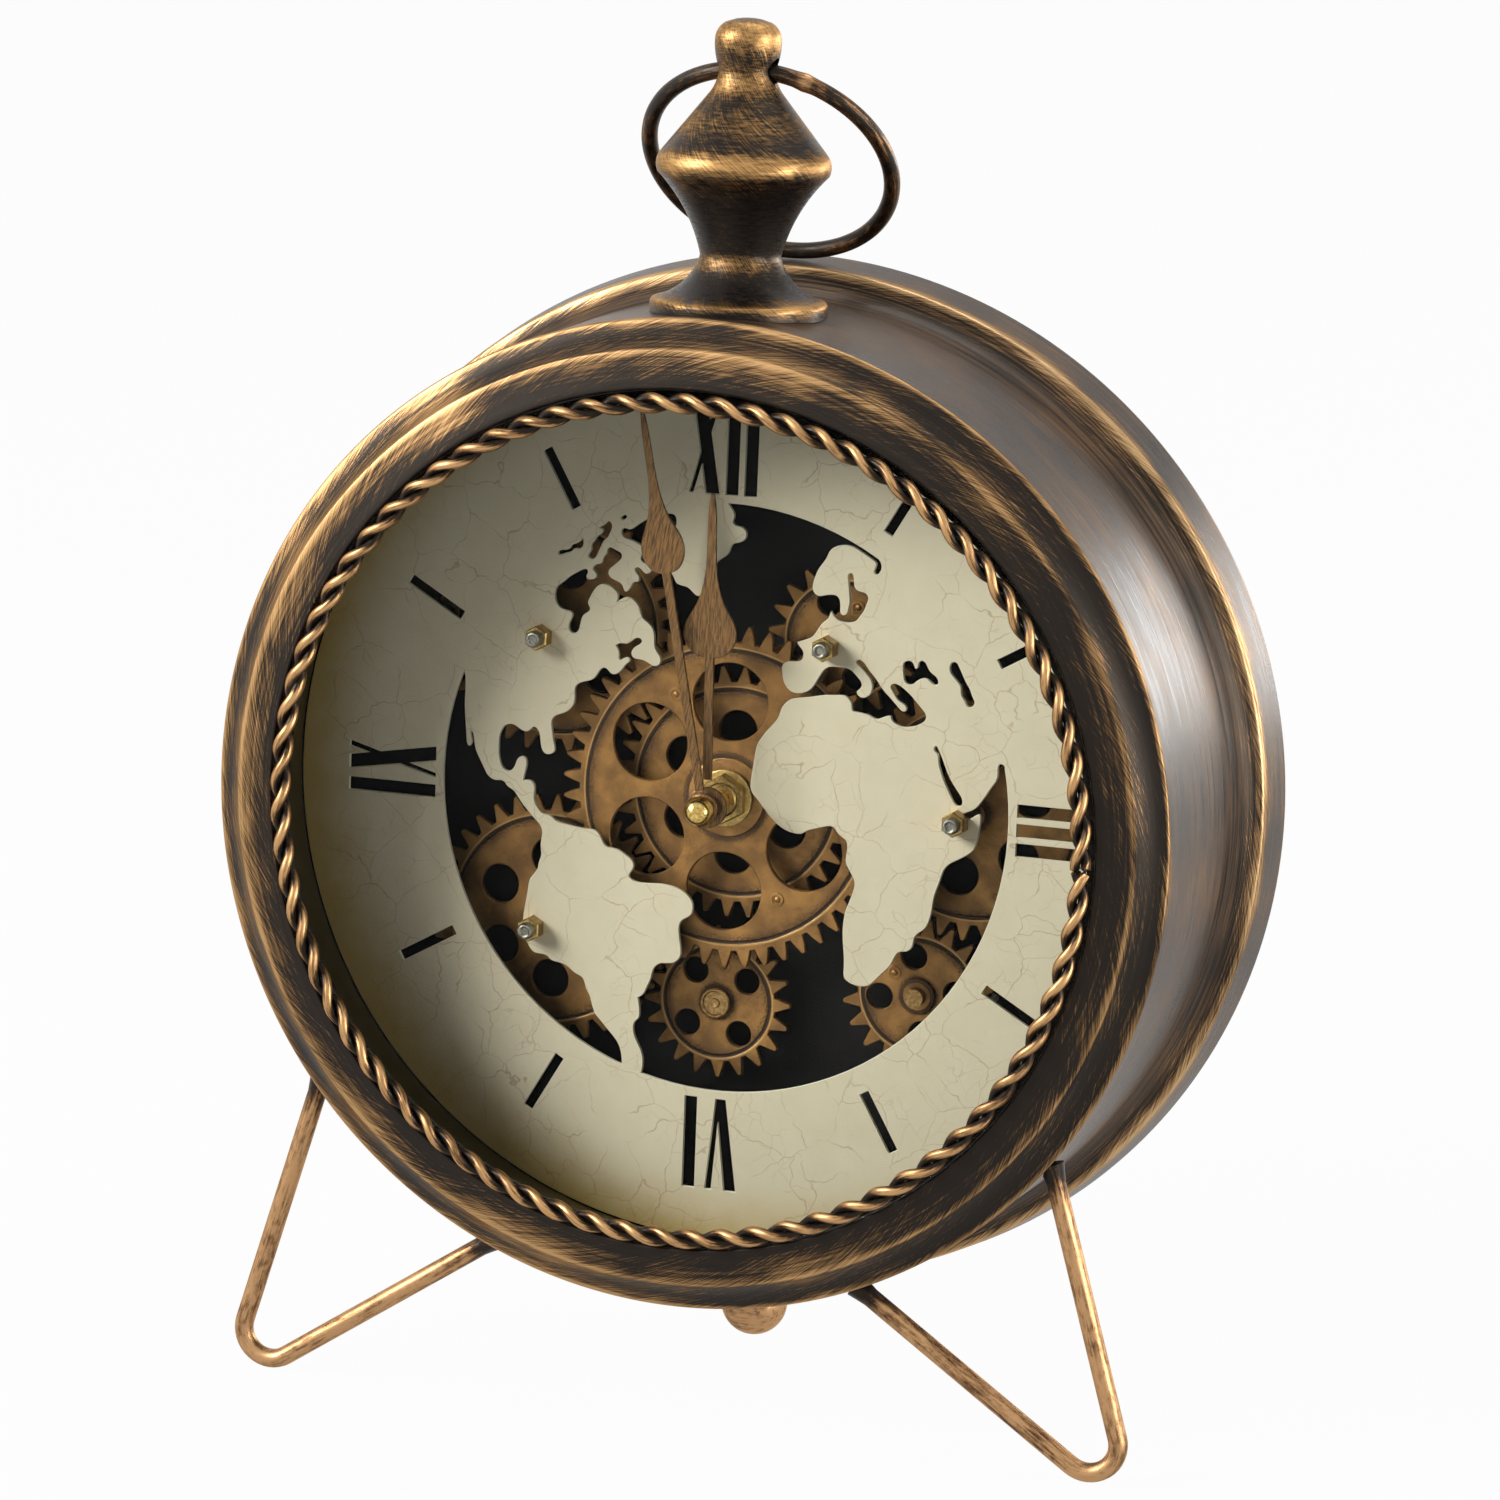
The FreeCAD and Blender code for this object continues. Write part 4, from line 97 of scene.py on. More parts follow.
# Axles, nuts and the stack at the centre
PIN_RADIUS = 1.5
PIN_REAR_Y = 22.3
DIAL_NUT_ACROSS = 5.5
DIAL_NUT_THICK = 4.0
HUB_NUT_ACROSS = 11.0
BUSH_RADIUS = 4.0
BUSH_BORE = 2.55
BUSH_REAR_Y = 21.5
THREAD_PITCH = 0.5
HAND_THICK = 0.8
HOUR_HAND_Y = -10.4
MINUTE_HAND_Y = -13.4
HOUR_BOSS_RADIUS = 5.2
MINUTE_BOSS_RADIUS = 4.0
SHAFT_RADIUS = 1.6
BALL_NUT_RADIUS = 3.8
BALL_NUT_Y = -16.0

# Finial and its swinging ring, which rests on the drum's rear rim
NECK_RADIUS = 6.9
NECK_Z = 180.6
NECK_HOLE_RADIUS = 3.1
RING_RADIUS = 31.0
RING_WIRE = 2.05
RING_REST = math.radians(40.69)
RING_SEAM = math.radians(153)

# Legs: directions are degrees round the drum's axis from three o'clock
LEG_WIRE = 2.4
LEG_Y = -22.6
LEG_OUTER_DEG = -37.9
LEG_INNER_DEG = -67.85
LEG_SINK = 2.0
LEG_REACH = 80.8
LEG_CORNER_DEG = -53.27
LEG_BEND_RADIUS = 7.5
WELD_GAP = 0.05


# Geometry

def polar(radius, degrees):
    a = math.radians(degrees)
    return radius * math.cos(a), radius * math.sin(a)


def shifted(place, radius, degrees):
    """The point that lies that far from a place, in that direction."""
    x, z = polar(radius, degrees)
    return place[0] + x, place[1] + z


def band_radius(y):
    """Radius of the drum's side at a depth."""
    return BAND_FRONT[1] + (y - BAND_FRONT_Y) * BAND_FLARE / BAND_DEPTH


def arc3(a, b, c, n):
    """Points of the circle through a, b and c, from a to c, both ends included."""
    a, b, c = complex(*a), complex(*b), complex(*c)
    w = (c - a) / (b - a)
    centre = a + (b - a) * (w - abs(w) ** 2) / (2j * w.imag)
    spoke = a - centre
    past_b = cmath.phase((b - centre) / spoke) % math.tau
    span = cmath.phase((c - centre) / spoke) % math.tau
    if past_b > span:
        span -= math.tau
    points = [centre + spoke * cmath.exp(1j * span * k / n) for k in range(n + 1)]
    return [(p.real, p.imag) for p in points]


def rounded(points, radii, n=6):
    """The open outline through points, with a fillet of the given radius at each corner."""
    out = [points[0]]
    for k in range(1, len(points) - 1):
        p, r = Vector(points[k]), radii.get(k, 0)
        u = (Vector(points[k - 1]) - p).normalized()
        w = (Vector(points[k + 1]) - p).normalized()
        half = u.angle(w) / 2
        if not r or half > 1.5:
            out.append(tuple(p))
            continue
        reach = r / math.tan(half)
        middle = p + (u + w).normalized() * (r / math.sin(half) - r)
        out += arc3(tuple(p + u * reach), tuple(middle), tuple(p + w * reach), n)
    out.append(points[-1])
    return out


def split_long(points, longest):
    """Adds points so that no stretch of the outline is longer than that."""
    out = [points[0]]
    for a, b in zip(points, points[1:]):
        n = max(1, math.ceil(math.dist(a, b) / longest))
        for k in range(1, n + 1):
            out.append((a[0] + (b[0] - a[0]) * k / n, a[1] + (b[1] - a[1]) * k / n))
    return out


def revolve(profile, steps, axis="Y", closed=True, wear=(), centre=(0, 0)):
    """Spins a profile of (along, radius) about the Y axis, or about the Z axis.

    wear gives one value for each point of the profile.
    """
    bm = bmesh.new()
    layer = bm.verts.layers.float.new("wear")
    line = []
    for along, radius in profile:
        line.append(bm.verts.new((radius, along, 0) if axis == "Y" else (radius, 0, along)))
    for v, value in zip(line, wear):
        v[layer] = value
    for pair in zip(line, line[1:] + line[:1] if closed else line[1:]):
        bm.edges.new(pair)
    way = (0, 1, 0) if axis == "Y" else (0, 0, 1)
    bmesh.ops.spin(
        bm, geom=bm.verts[:] + bm.edges[:], cent=(0, 0, 0), axis=way,
        angle=math.tau, steps=steps, use_merge=True,
    )
    bmesh.ops.translate(bm, vec=(centre[0], 0, centre[1]), verts=bm.verts)
    bmesh.ops.remove_doubles(bm, verts=bm.verts, dist=1e-4)
    bmesh.ops.dissolve_degenerate(bm, edges=bm.edges, dist=1e-5)
    bmesh.ops.recalc_face_normals(bm, faces=bm.faces)
    return bm


def sweep(path, radii, sides, side, closed=False, wear=()):
    """Round wire along a path of points, with a radius and a wear for each point.

    side is where its first vertex lies. The grain attribute holds the distance along the wire
    and the place round it, in millimetres.
    """
    bm = bmesh.new()
    wear_layer = bm.verts.layers.float.new("wear")
    grain_layer = bm.verts.layers.float_vector.new("grain")
    n = len(path)
    turns = [math.tau * k / sides for k in range(sides)]
    rings, along = [], [0.0]
    for i, p in enumerate(path):
        if i:
            along.append(along[-1] + (p - path[i - 1]).length)
        after = path[(i + 1) % n] if closed else path[min(i + 1, n - 1)]
        before = path[i - 1] if closed else path[max(i - 1, 0)]
        way = (after - before).normalized()
        side = (side - way * side.dot(way)).normalized()
        up = way.cross(side)
        r = radii[i]
        rings.append([
            bm.verts.new(p + side * (r * math.cos(t)) + up * (r * math.sin(t))) for t in turns
        ])
    for ring, far in zip(rings, along):
        if closed:
            far = abs(far - along[-1] / 2)
        for v, t in zip(ring, turns):
            v[grain_layer] = (far, 2.0 * math.cos(t), 2.0 * math.sin(t))
    for ring, value in zip(rings, wear):
        for v in ring:
            v[wear_layer] = value
    for a, b in zip(rings, rings[1:] + rings[:1] if closed else rings[1:]):
        for k in range(sides):
            m = (k + 1) % sides
            bm.faces.new((a[k], a[m], b[m], b[k]))
    if not closed:
        bm.faces.new(rings[0][::-1])
        bm.faces.new(rings[-1])
    bmesh.ops.recalc_face_normals(bm, faces=bm.faces)
    return bm


def join(*meshes):
    """One bmesh out of several, which are freed."""
    whole = bmesh.new()
    for bm in meshes:
        mesh = bpy.data.meshes.new("part")
        bm.to_mesh(mesh)
        bm.free()
        whole.from_mesh(mesh)
        bpy.data.meshes.remove(mesh)
    return whole


def cut(bm, tool):
    """bm with the closed tool taken out of it."""
    objs = []
    for part in (bm, tool):
        mesh = bpy.data.meshes.new("cut")
        part.to_mesh(mesh)
        part.free()
        obj = bpy.data.objects.new("cut", mesh)
        bpy.context.scene.collection.objects.link(obj)
        objs.append(obj)
    modifier = objs[0].modifiers.new("hole", "BOOLEAN")
    modifier.operation = "DIFFERENCE"
    modifier.solver = "EXACT"
    modifier.object = objs[1]
    depsgraph = bpy.context.evaluated_depsgraph_get()
    mesh = bpy.data.meshes.new_from_object(objs[0].evaluated_get(depsgraph))
    out = bmesh.new()
    out.from_mesh(mesh)
    for obj in objs:
        data = obj.data
        bpy.data.objects.remove(obj)
        bpy.data.meshes.remove(data)
    bpy.data.meshes.remove(mesh)
    return out


def circle(radius, centre=(0, 0), n=48):
    return [shifted(centre, radius, 360 * k / n) for k in range(n)]


def hexagon(across, centre=(0, 0)):
    """Outline of a nut with a corner at its top and at its bottom."""
    return [shifted(centre, across / math.sqrt(3), 30 + 60 * k) for k in range(6)]


def area(loop):
    return sum(a[0] * b[1] - b[0] * a[1] for a, b in zip(loop, loop[1:] + loop[:1])) / 2


def inside(point, loop):
    x, z = point
    crossings = 0
    for (ax, az), (bx, bz) in zip(loop, loop[1:] + loop[:1]):
        if (az > z) != (bz > z) and x < (bx - ax) * (z - az) / (bz - az) + ax:
            crossings += 1
    return crossings % 2 == 1


def plate(loops, y_front, thick, bevel):
    """Flat piece with eased front rims. The first loop is its outline, the others are holes."""
    points, edges = [], []
    for loop in loops:
        first = len(points)
        points += [Vector(p) for p in loop]
        edges += [(first + k, first + (k + 1) % len(loop)) for k in range(len(loop))]
    verts, _, faces, *_ = geometry.delaunay_2d_cdt(points, edges, [], 1, 1e-5)
    bm = bmesh.new()
    made = [bm.verts.new((v.x, y_front, v.y)) for v in verts]
    for face in faces:
        middle = sum((verts[k] for k in face), Vector((0, 0))) / len(face)
        if sum(inside(middle, loop) for loop in loops) == 1:
            bm.faces.new([made[k] for k in face])
    bmesh.ops.delete(bm, geom=[v for v in bm.verts if not v.link_faces], context="VERTS")
    bm.normal_update()
    front = bm.faces[:]
    if front[0].normal.y > 0:
        bmesh.ops.reverse_faces(bm, faces=front)
    rim = [v for v in bm.verts if any(e.is_boundary for e in v.link_edges)]
    bmesh.ops.inset_region(
        bm, faces=front, thickness=bevel, use_even_offset=False, use_boundary=True,
    )
    for v in rim:
        v.co.y += bevel
    border = [e for e in bm.edges if e.is_boundary]
    walls = bmesh.ops.extrude_edge_only(bm, edges=border)["geom"]
    for v in {v for v in walls if isinstance(v, bmesh.types.BMVert)}:
        v.co.y = y_front + thick
    back = bmesh.ops.duplicate(bm, geom=front)["geom"]
    back_faces = [f for f in back if isinstance(f, bmesh.types.BMFace)]
    bmesh.ops.reverse_faces(bm, faces=back_faces)
    for v in {v for f in back_faces for v in f.verts}:
        v.co.y = y_front + thick
    bmesh.ops.recalc_face_normals(bm, faces=bm.faces)
    return bm


def disc(y_front, y_rear, radius, centre, bore=0.0, edge=0.25, steps=48):
    """Short turned disc with eased edges, and a bore where one is given."""
    if bore:
        outline = [(y_rear, bore), (y_front, bore), (y_front, radius), (y_rear, radius)]
        profile = rounded(outline + [outline[0]], {2: edge, 3: edge}, 3)[:-1]
        return revolve(profile, steps, centre=centre)
    outline = [(y_front, 0.0), (y_front, radius), (y_rear, radius), (y_rear, 0.0)]
    return revolve(rounded(outline, {1: edge, 2: edge}, 3), steps, closed=False, centre=centre)


def face_map(bm, centre=(0, 0), degrees=0.0):
    """UV map in millimetres from a centre, with v turned that many degrees right of twelve."""
    a = math.radians(degrees)
    uv = bm.loops.layers.uv.new("face")
    for face in bm.faces:
        for loop in face.loops:
            x, z = loop.vert.co.x - centre[0], loop.vert.co.z - centre[1]
            u = x * math.cos(a) - z * math.sin(a)
            loop[uv].uv = (u, x * math.sin(a) + z * math.cos(a))


def cad_loops(node, depth):
    """Closed outlines of a CAD node's flat front face at that depth, the longest first."""
    bm = bmesh.new()
    bm.from_mesh(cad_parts[node].data)
    bmesh.ops.transform(bm, matrix=FROM_ROW, verts=bm.verts)
    bmesh.ops.remove_doubles(bm, verts=bm.verts, dist=2e-3)
    flat = {f for f in bm.faces if all(abs(v.co.y - depth) < 0.02 for v in f.verts)}
    edges = [e for e in bm.edges if sum(f in flat for f in e.link_faces) == 1]
    after = {}
    for e in edges:
        a, b = e.verts
        after.setdefault(a, []).append(b)
        after.setdefault(b, []).append(a)
    loops = []
    while after:
        first = next(iter(after))
        loop, here, last = [first], after[first][0], first
        while here is not first:
            loop.append(here)
            onward = [v for v in after[here] if v is not last] or after[here]
            last, here = here, onward[0]
        for v in loop:
            after.pop(v, None)
        loops.append([(v.co.x, v.co.z) for v in loop])
    bm.free()
    return sorted(loops, key=lambda p: -abs(area(p)))


def without_near(loop, least):
    """The loop without points that lie nearer than that to the last one kept."""
    out = [loop[0]]
    for point in loop[1:]:
        if math.dist(point, out[-1]) >= least and math.dist(point, out[0]) >= least:
            out.append(point)
    return out


def smooth_loop(loop, limit=0.5, longest=2.5):
    """The loop with its gentle bends rounded by an extra point on each short stretch."""
    out = []
    n = len(loop)
    for k in range(n):
        p0, p1, p2, p3 = (Vector(loop[(k + j) % n]) for j in (-1, 0, 1, 2))
        out.append(tuple(p1))
        a, b, c = p1 - p0, p2 - p1, p3 - p2
        if min(a.length, b.length, c.length) < 1e-3 or b.length > longest:
            continue
        if abs(a.angle_signed(b)) < limit and abs(b.angle_signed(c)) < limit:
            out.append(tuple((p1 + p2) * 0.5625 - (p0 + p3) * 0.0625))
    return out


# Adding pieces

def add_piece(name, bm, material, node, body="drum", sharp=35.0):
    """A finished piece: into the row frame, smooth, on its body, in place of its CAD node."""
    bmesh.ops.transform(bm, matrix=TO_ROW, verts=bm.verts)
    mesh = bpy.data.meshes.new(name)
    bm.to_mesh(mesh)
    bm.free()
    mesh.shade_smooth()
    mesh.set_sharp_from_angle(angle=math.radians(sharp))
    mesh.materials.append(material)
    obj = bpy.data.objects.new(name, mesh)
    bpy.context.scene.collection.objects.link(obj)
    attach(obj, body)
    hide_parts(node)


def paint(material, slot, *nodes):
    """CAD nodes that show as they are, with a finish of their own."""
    for node in nodes:
        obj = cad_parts[node]
        obj.data.materials.clear()
        obj.data.materials.append(material)


# Materials

# The setting that a word after a node's kind stands for
MODES = {
    "Math": "operation",
    "VectorMath": "operation",
    "Mix": "data_type",
    "MapRange": "interpolation_type",
    "TexVoronoi": "feature",
    "VectorRotate": "rotation_type",
}

# The nodes that the finishes use most. STEP is 0 below its second value and 1 above its third.
PLUS = "Math ADD"
MINUS = "Math SUBTRACT"
TIMES = "Math MULTIPLY"
SCALE = "VectorMath MULTIPLY"
STEP = "MapRange SMOOTHSTEP"
MIX = "Mix RGBA"
BLEND = "Mix FLOAT"


def linear(code):
    """Scene-linear colour from an sRGB hex code."""
    channels = [int(code[i:i + 2], 16) / 255 for i in (1, 3, 5)]
    parts = [c / 12.92 if c <= 0.04045 else ((c + 0.055) / 1.055) ** 2.4 for c in channels]
    return (*parts, 1.0)


def feed(tree, socket, value):
    """Links a socket, or sets a number or a colour."""
    if isinstance(value, bpy.types.NodeSocket):
        tree.links.new(value, socket)
    else:
        socket.default_value = value


def add_node(tree, kind, *values, **named):
    """Adds a node and gives its first output that is in use.

    Values go to the inputs in use, in their order. A name with a capital letter is an input
    too, and any other name is a setting.
    """
    kind, _, mode = kind.partition(" ")
    node = tree.nodes.new("ShaderNode" + kind)
    if mode:
        setattr(node, MODES[kind], mode)
    in_use = [socket for socket in node.inputs if socket.enabled]
    pairs = list(zip(in_use, values))
    for name, value in named.items():
        if name[0].isupper():
            pairs.append((node.inputs[name], value))
        else:
            setattr(node, name, value)
    for socket, value in pairs:
        feed(tree, socket, value)
    return next(socket for socket in node.outputs if socket.enabled)


class Finish:
    """A material's node tree and its shader."""

    def __init__(self, name):
        self.material = bpy.data.materials.new(name)
        self.material.use_nodes = True
        self.tree = self.material.node_tree
        self.shader = next(n for n in self.tree.nodes if n.type == "BSDF_PRINCIPLED")
        self.place = None

    def add(self, kind, *values, **named):
        return add_node(self.tree, kind, *values, **named)

    def set(self, **values):
        """Shader inputs, with _ for a space in their names."""
        for name, value in values.items():
            feed(self.tree, self.shader.inputs[name.replace("_", " ")], value)

    def drum(self):
        """Object coordinates turned back into the drum's axes, in millimetres."""
        if self.place is None:
            coords = self.add("TexCoord").node.outputs["Object"]
            offset = Matrix.Rotation(LEAN, 3, "X") @ SHIFT
            self.place = self.add("Mapping", coords, -offset, (LEAN, 0, 0), (1 / MM,) * 3)
        return self.place

    def bump(self, height, strength, depth):
        """Relief of that depth in millimetres."""
        self.set(Normal=self.add("Bump", Height=height, Strength=strength, Distance=depth * MM))

    def end_in(self, shader):
        """The material shows this shader."""
        output = next(n for n in self.tree.nodes if n.type == "OUTPUT_MATERIAL")
        self.tree.links.new(shader, output.inputs["Surface"])


def brush_marks(g, axis):
    """Two families of hair-fine scratches: slanted strokes, and marks that run round the axis.

    On wire, which has no axis, both run along the wire.
    """
    add = g.add
    if not axis:
        grain = add("Attribute", attribute_name="grain").node.outputs["Vector"]
        long_marks = add(SCALE, grain, (0.09, 1.5, 1.5))
        short_marks = add(SCALE, grain, (0.35, 0.9, 0.9))
        return add("TexNoise", long_marks, 1.0, 4.0, 0.7), add("TexNoise", short_marks, 1.0, 4.0, 0.65)
    x, y, z = add("SeparateXYZ", g.drum()).node.outputs
    b = z if axis == "Y" else y
    radius = add("VectorMath LENGTH", add("CombineXYZ", x, b, 0.0))
    a, b = add("Math DIVIDE", x, radius), add("Math DIVIDE", b, radius)
    across = add(PLUS, radius, y) if axis == "Y" else z
    slant, round_count, depth_scale, ring_count, ring_scale = {
        "Y": (0.019, 190.0, 0.17, 4.0, 1.3),
        "Z": (0.060, 70.0, 0.22, 4.5, 2.2),
    }[axis]
    angle = add(TIMES, across, slant)
    turned = add("VectorRotate Z_AXIS", add("CombineXYZ", a, b, 0.0), Angle=angle)
    fine = add(SCALE, turned, (round_count,) * 3)
    x, y, _ = add("SeparateXYZ", fine).node.outputs
    deep = add("CombineXYZ", x, y, add(TIMES, across, depth_scale))
    round_a = add(TIMES, a, ring_count)
    round_b = add(TIMES, b, ring_count)
    ring = add("CombineXYZ", round_a, round_b, add(TIMES, across, ring_scale))
    strokes = add("TexNoise", deep, 1.0, 3.0, 0.7)
    return strokes, add("TexNoise", ring, 1.0, 4.0, 0.65, Distortion=0.2)


def worn_finish(name, dark, haze, gold, light, axis, cloud, rough):
    """Dark lacquer brushed through to gold. The wear attribute is the share that shows gold."""
    g = Finish(name)
    add = g.add
    strokes, rings = brush_marks(g, axis)
    patch = add("TexNoise", g.drum(), 0.045, 2.0, 0.5)
    marks = add(PLUS, add(TIMES, strokes, 1.7), add(TIMES, rings, 1.1))
    loose = add(PLUS, marks, add(TIMES, patch, 0.9))
    wear = add("Attribute", attribute_name="wear").node.outputs["Fac"]
    level = add(PLUS, wear, add(MINUS, loose, 1.85))
    rub = add(STEP, level, 0.36, 0.66)
    bare = add(STEP, level, 0.55, 1.1)
    thin = add(PLUS, rings, add(TIMES, patch, 0.3))
    faint = add(TIMES, add(STEP, thin, 0.55, 0.80), cloud)
    ground = add(MIX, faint, linear(dark), linear(haze))
    worn = add(MIX, bare, linear(gold), linear(light))
    metal = add("Math MAXIMUM", add(TIMES, rub, 0.85), add(TIMES, faint, 0.35))
    streaks = add(STEP, rings, 0.35, 0.65)
    streaked = add(BLEND, streaks, rough - 0.05, rough + 0.13)
    g.set(Base_Color=add(MIX, rub, ground, worn), Metallic=metal)
    g.set(Roughness=add(BLEND, rub, streaked, 0.38))
    g.set(Specular_IOR_Level=0.24, Specular_Tint=linear("#fbe6cf"))
    g.bump(marks, 0.30, 0.08)
    return g.material


def cracks(g, where, scale, width, among):
    """Lines between the cells of a pattern, and only where the last value is high."""
    edge = g.add("TexVoronoi DISTANCE_TO_EDGE", where, scale)
    return g.add(TIMES, g.add(STEP, edge, 0.0, width, 1.0, 0.0), among)


def dial_finish():
    """Cream crackle paint: hair-fine brown cracks, a yellowed rim that spreads further in at the left
    and bottom as painted shade, and pale cut edges.
    """
    g = Finish("cream_crackle_paint")
    add = g.add
    x, _, z = add("SeparateXYZ", g.drum()).node.outputs
    flat = add("CombineXYZ", x, z, 0.0)
    wander = add("TexNoise", flat, 0.09, 3.0).node.outputs["Color"]
    bent = add("VectorMath ADD", flat, add(SCALE, wander, (9.0, 9.0, 9.0)))
    where = add("TexNoise", flat, 0.05, 3.0, 0.55)
    coarse = cracks(g, bent, 0.075, 0.012, add(STEP, where, 0.38, 0.52))
    small = cracks(g, bent, 0.17, 0.020, add(STEP, where, 0.48, 0.60))
    lines = add("Math MAXIMUM", add(TIMES, coarse, 0.45), add(TIMES, small, 0.26))
    mottle = add("TexNoise", flat, 0.12, 4.0, 0.6)
    cream = add(MIX, mottle, linear("#dfd1b0"), linear("#ecdfc3"))
    # The yellowed rim reaches further in towards the left and the bottom: real yellowing, with painted
    # shade from the drum's lip there
    lower_left_shade = add(PLUS, add(TIMES, x, -0.077), add(TIMES, z, -0.0385))
    reach = add(PLUS, add("VectorMath LENGTH", flat), lower_left_shade)
    uneven = add(PLUS, reach, add(TIMES, mottle, 10.0))
    rim = add(STEP, uneven, 102.0, 126.0)
    aged_and_shaded = add(MIX, rim, cream, linear("#b99a55"))
    stained = add(MIX, lines, aged_and_shaded, linear("#96592c"))
    normal = add("TexCoord").node.outputs["Normal"]
    facing = add("SeparateXYZ", normal).node.outputs[1]
    front = add(STEP, facing, -0.55, -0.9)
    back = add(STEP, facing, 0.55, 0.9)
    seen = add(MIX, front, linear("#efe8cf"), stained)
    g.set(Base_Color=add(MIX, back, seen, linear("#2a2725")))
    g.set(Roughness=0.5, Specular_IOR_Level=0.35)
    g.bump(add(TIMES, lines, -1.0), 0.25, 0.05)
    return g.material


def gear_finish(name, groove, hub):
    """Antique bronze: painted shade in the groove with a painted highlight on its lip, and grime
    specks with painted shade by the groove and the hub.
    """
    g = Finish(name)
    add = g.add
    face = add("UVMap", uv_map="face")
    radius = add("VectorMath LENGTH", face)
    speck = add("TexNoise", face, 2.0, 4.0, 0.75)
    cloud = add("TexNoise", face, 0.11, 3.0, 0.55)
    tone = add(PLUS, add(TIMES, cloud, 0.7), add(TIMES, speck, 0.5))
    light = add(STEP, tone, 0.46, 0.76)
    bronze = add(MIX, light, linear("#674722"), linear("#a0733c"))
    beyond = add(MINUS, radius, groove)
    from_hub = add(MINUS, radius, hub)
    # Painted shade: a dark line along the groove
    line = add(STEP, add("Math ABSOLUTE", beyond), 0.25, 0.60, 1.0, 0.0)
    # Painted highlight: a bright line along the groove's outer lip, the same all round
    from_lit_lip = add("Math ABSOLUTE", add(MINUS, beyond, 0.75))
    lip = add(STEP, from_lit_lip, 0.1, 0.35, 1.0, 0.0)
    # Specks darker inside the groove and round the hub: partly grime, partly painted shade where the
    # face meets the groove and the boss
    by_groove = add(STEP, beyond, -0.2, -4.0, 1.0, 0.0)
    within = add(TIMES, by_groove, add(STEP, beyond, 0.4, -0.1))
    by_hub = add(STEP, from_hub, 0.3, 2.6, 1.0, 0.0)
    ringed = add(TIMES, by_hub, add(STEP, from_hub, -0.2, 0.1))
    dirt_and_shade = add("Math MAXIMUM", add(TIMES, within, 0.20), add(TIMES, ringed, 0.30))
    grime_and_shade = add(STEP, add(PLUS, speck, dirt_and_shade), 0.60, 0.74)
    dirty_and_shaded = add(MIX, add(TIMES, grime_and_shade, 0.85), bronze, linear("#2c1c0f"))
    shade_lined = add(MIX, add(TIMES, line, 0.9), dirty_and_shaded, linear("#20140b"))
    g.set(Base_Color=add(MIX, add(TIMES, lip, 0.45), shade_lined, linear("#d0a468")))
    g.set(Metallic=0.6, Roughness=add(BLEND, grime_and_shade, 0.42, 0.62))
    g.bump(add(MINUS, add(TIMES, speck, 0.2), line), 0.8, 0.3)
    return g.material


def metal_finish(name, base, light, rough, metallic=1.0):
    """Bare metal with a fine grain that breaks up its gloss."""
    g = Finish(name)
    spots = g.add("TexNoise", g.drum(), 1.2, 3.0, 0.6)
    share = g.add(STEP, spots, 0.35, 0.7)
    g.set(Base_Color=g.add(MIX, share, linear(base), linear(light)), Metallic=metallic)
    g.set(Roughness=g.add(BLEND, spots, rough, rough + 0.12))
    g.bump(spots, 0.15, 0.05)
    return g.material


def plain_finish(name, base, light, rough, level=0.5, grain=0.8, relief=0.2):
    """Paint or plastic with a light mottle, so that it isn't one flat colour."""
    g = Finish(name)
    spots = g.add("TexNoise", g.drum(), grain, 4.0, 0.6)
    share = g.add(STEP, spots, 0.3, 0.75)
    g.set(Base_Color=g.add(MIX, share, linear(base), linear(light)))
    g.set(Roughness=g.add(BLEND, spots, rough, rough + 0.1), Specular_IOR_Level=level)
    g.bump(spots, relief, 0.05)
    return g.material


def hand_finish():
    """Brushed bronze of the hands, with long fine streaks and dark specks."""
    g = Finish("streaked_bronze")
    add = g.add
    face = add("UVMap", uv_map="face")
    streak = add("TexNoise", add(SCALE, face, (2.6, 0.22, 1.0)), 1.0, 4.0, 0.65)
    speck = add(STEP, add("TexNoise", face, 1.4, 3.0, 0.6), 0.58, 0.70)
    share = add(STEP, streak, 0.38, 0.60)
    tone = add(MIX, share, linear("#4a3218"), linear("#835e33"))
    g.set(Base_Color=add(MIX, add(TIMES, speck, 0.6), tone, linear("#3b2612")))
    g.set(Metallic=0.55, Roughness=0.40)
    g.bump(streak, 0.3, 0.08)
    return g.material


def glass_finish():
    """Clear picture glass with a reflection so faint that the dial's blacks stay black."""
    g = Finish("clear_glass")
    smear = g.add("TexNoise", g.drum(), 0.02, 2.0, 0.55)
    g.set(Base_Color=g.add(MIX, smear, linear("#f6faf8"), linear("#fbfdfc")))
    g.set(Roughness=g.add(BLEND, smear, 0.0, 0.02), Transmission_Weight=1.0, IOR=1.1)
    clear = g.add("BsdfTransparent", linear("#fcfdfc"))
    path = g.add("LightPath").node.outputs
    bare = g.add("Math MAXIMUM", path["Is Shadow Ray"], path["Is Diffuse Ray"])
    g.end_in(g.add("MixShader", bare, g.shader.outputs[0], clear))
    return g.material


# Near-black satin lacquer, brushed through to gold on the crests: the bezel
BEZEL = worn_finish("bezel_black_gold", "#141212", "#3d2f22", "#6b5135", "#b69062", "Y", 0.15, 0.38)
# Grey-brown satin lacquer with copper streaks along the drum's side
CASE = worn_finish("case_brown_black", "#1c1917", "#6d543f", "#785c3e", "#c4a276", "Y", 0.65, 0.32)
# The same black and gold, brushed aslant on the turned finial
FINIAL = worn_finish("finial_black_gold", "#141212", "#3a2f26", "#6e5232", "#bb915c", "Z", 0.12, 0.28)
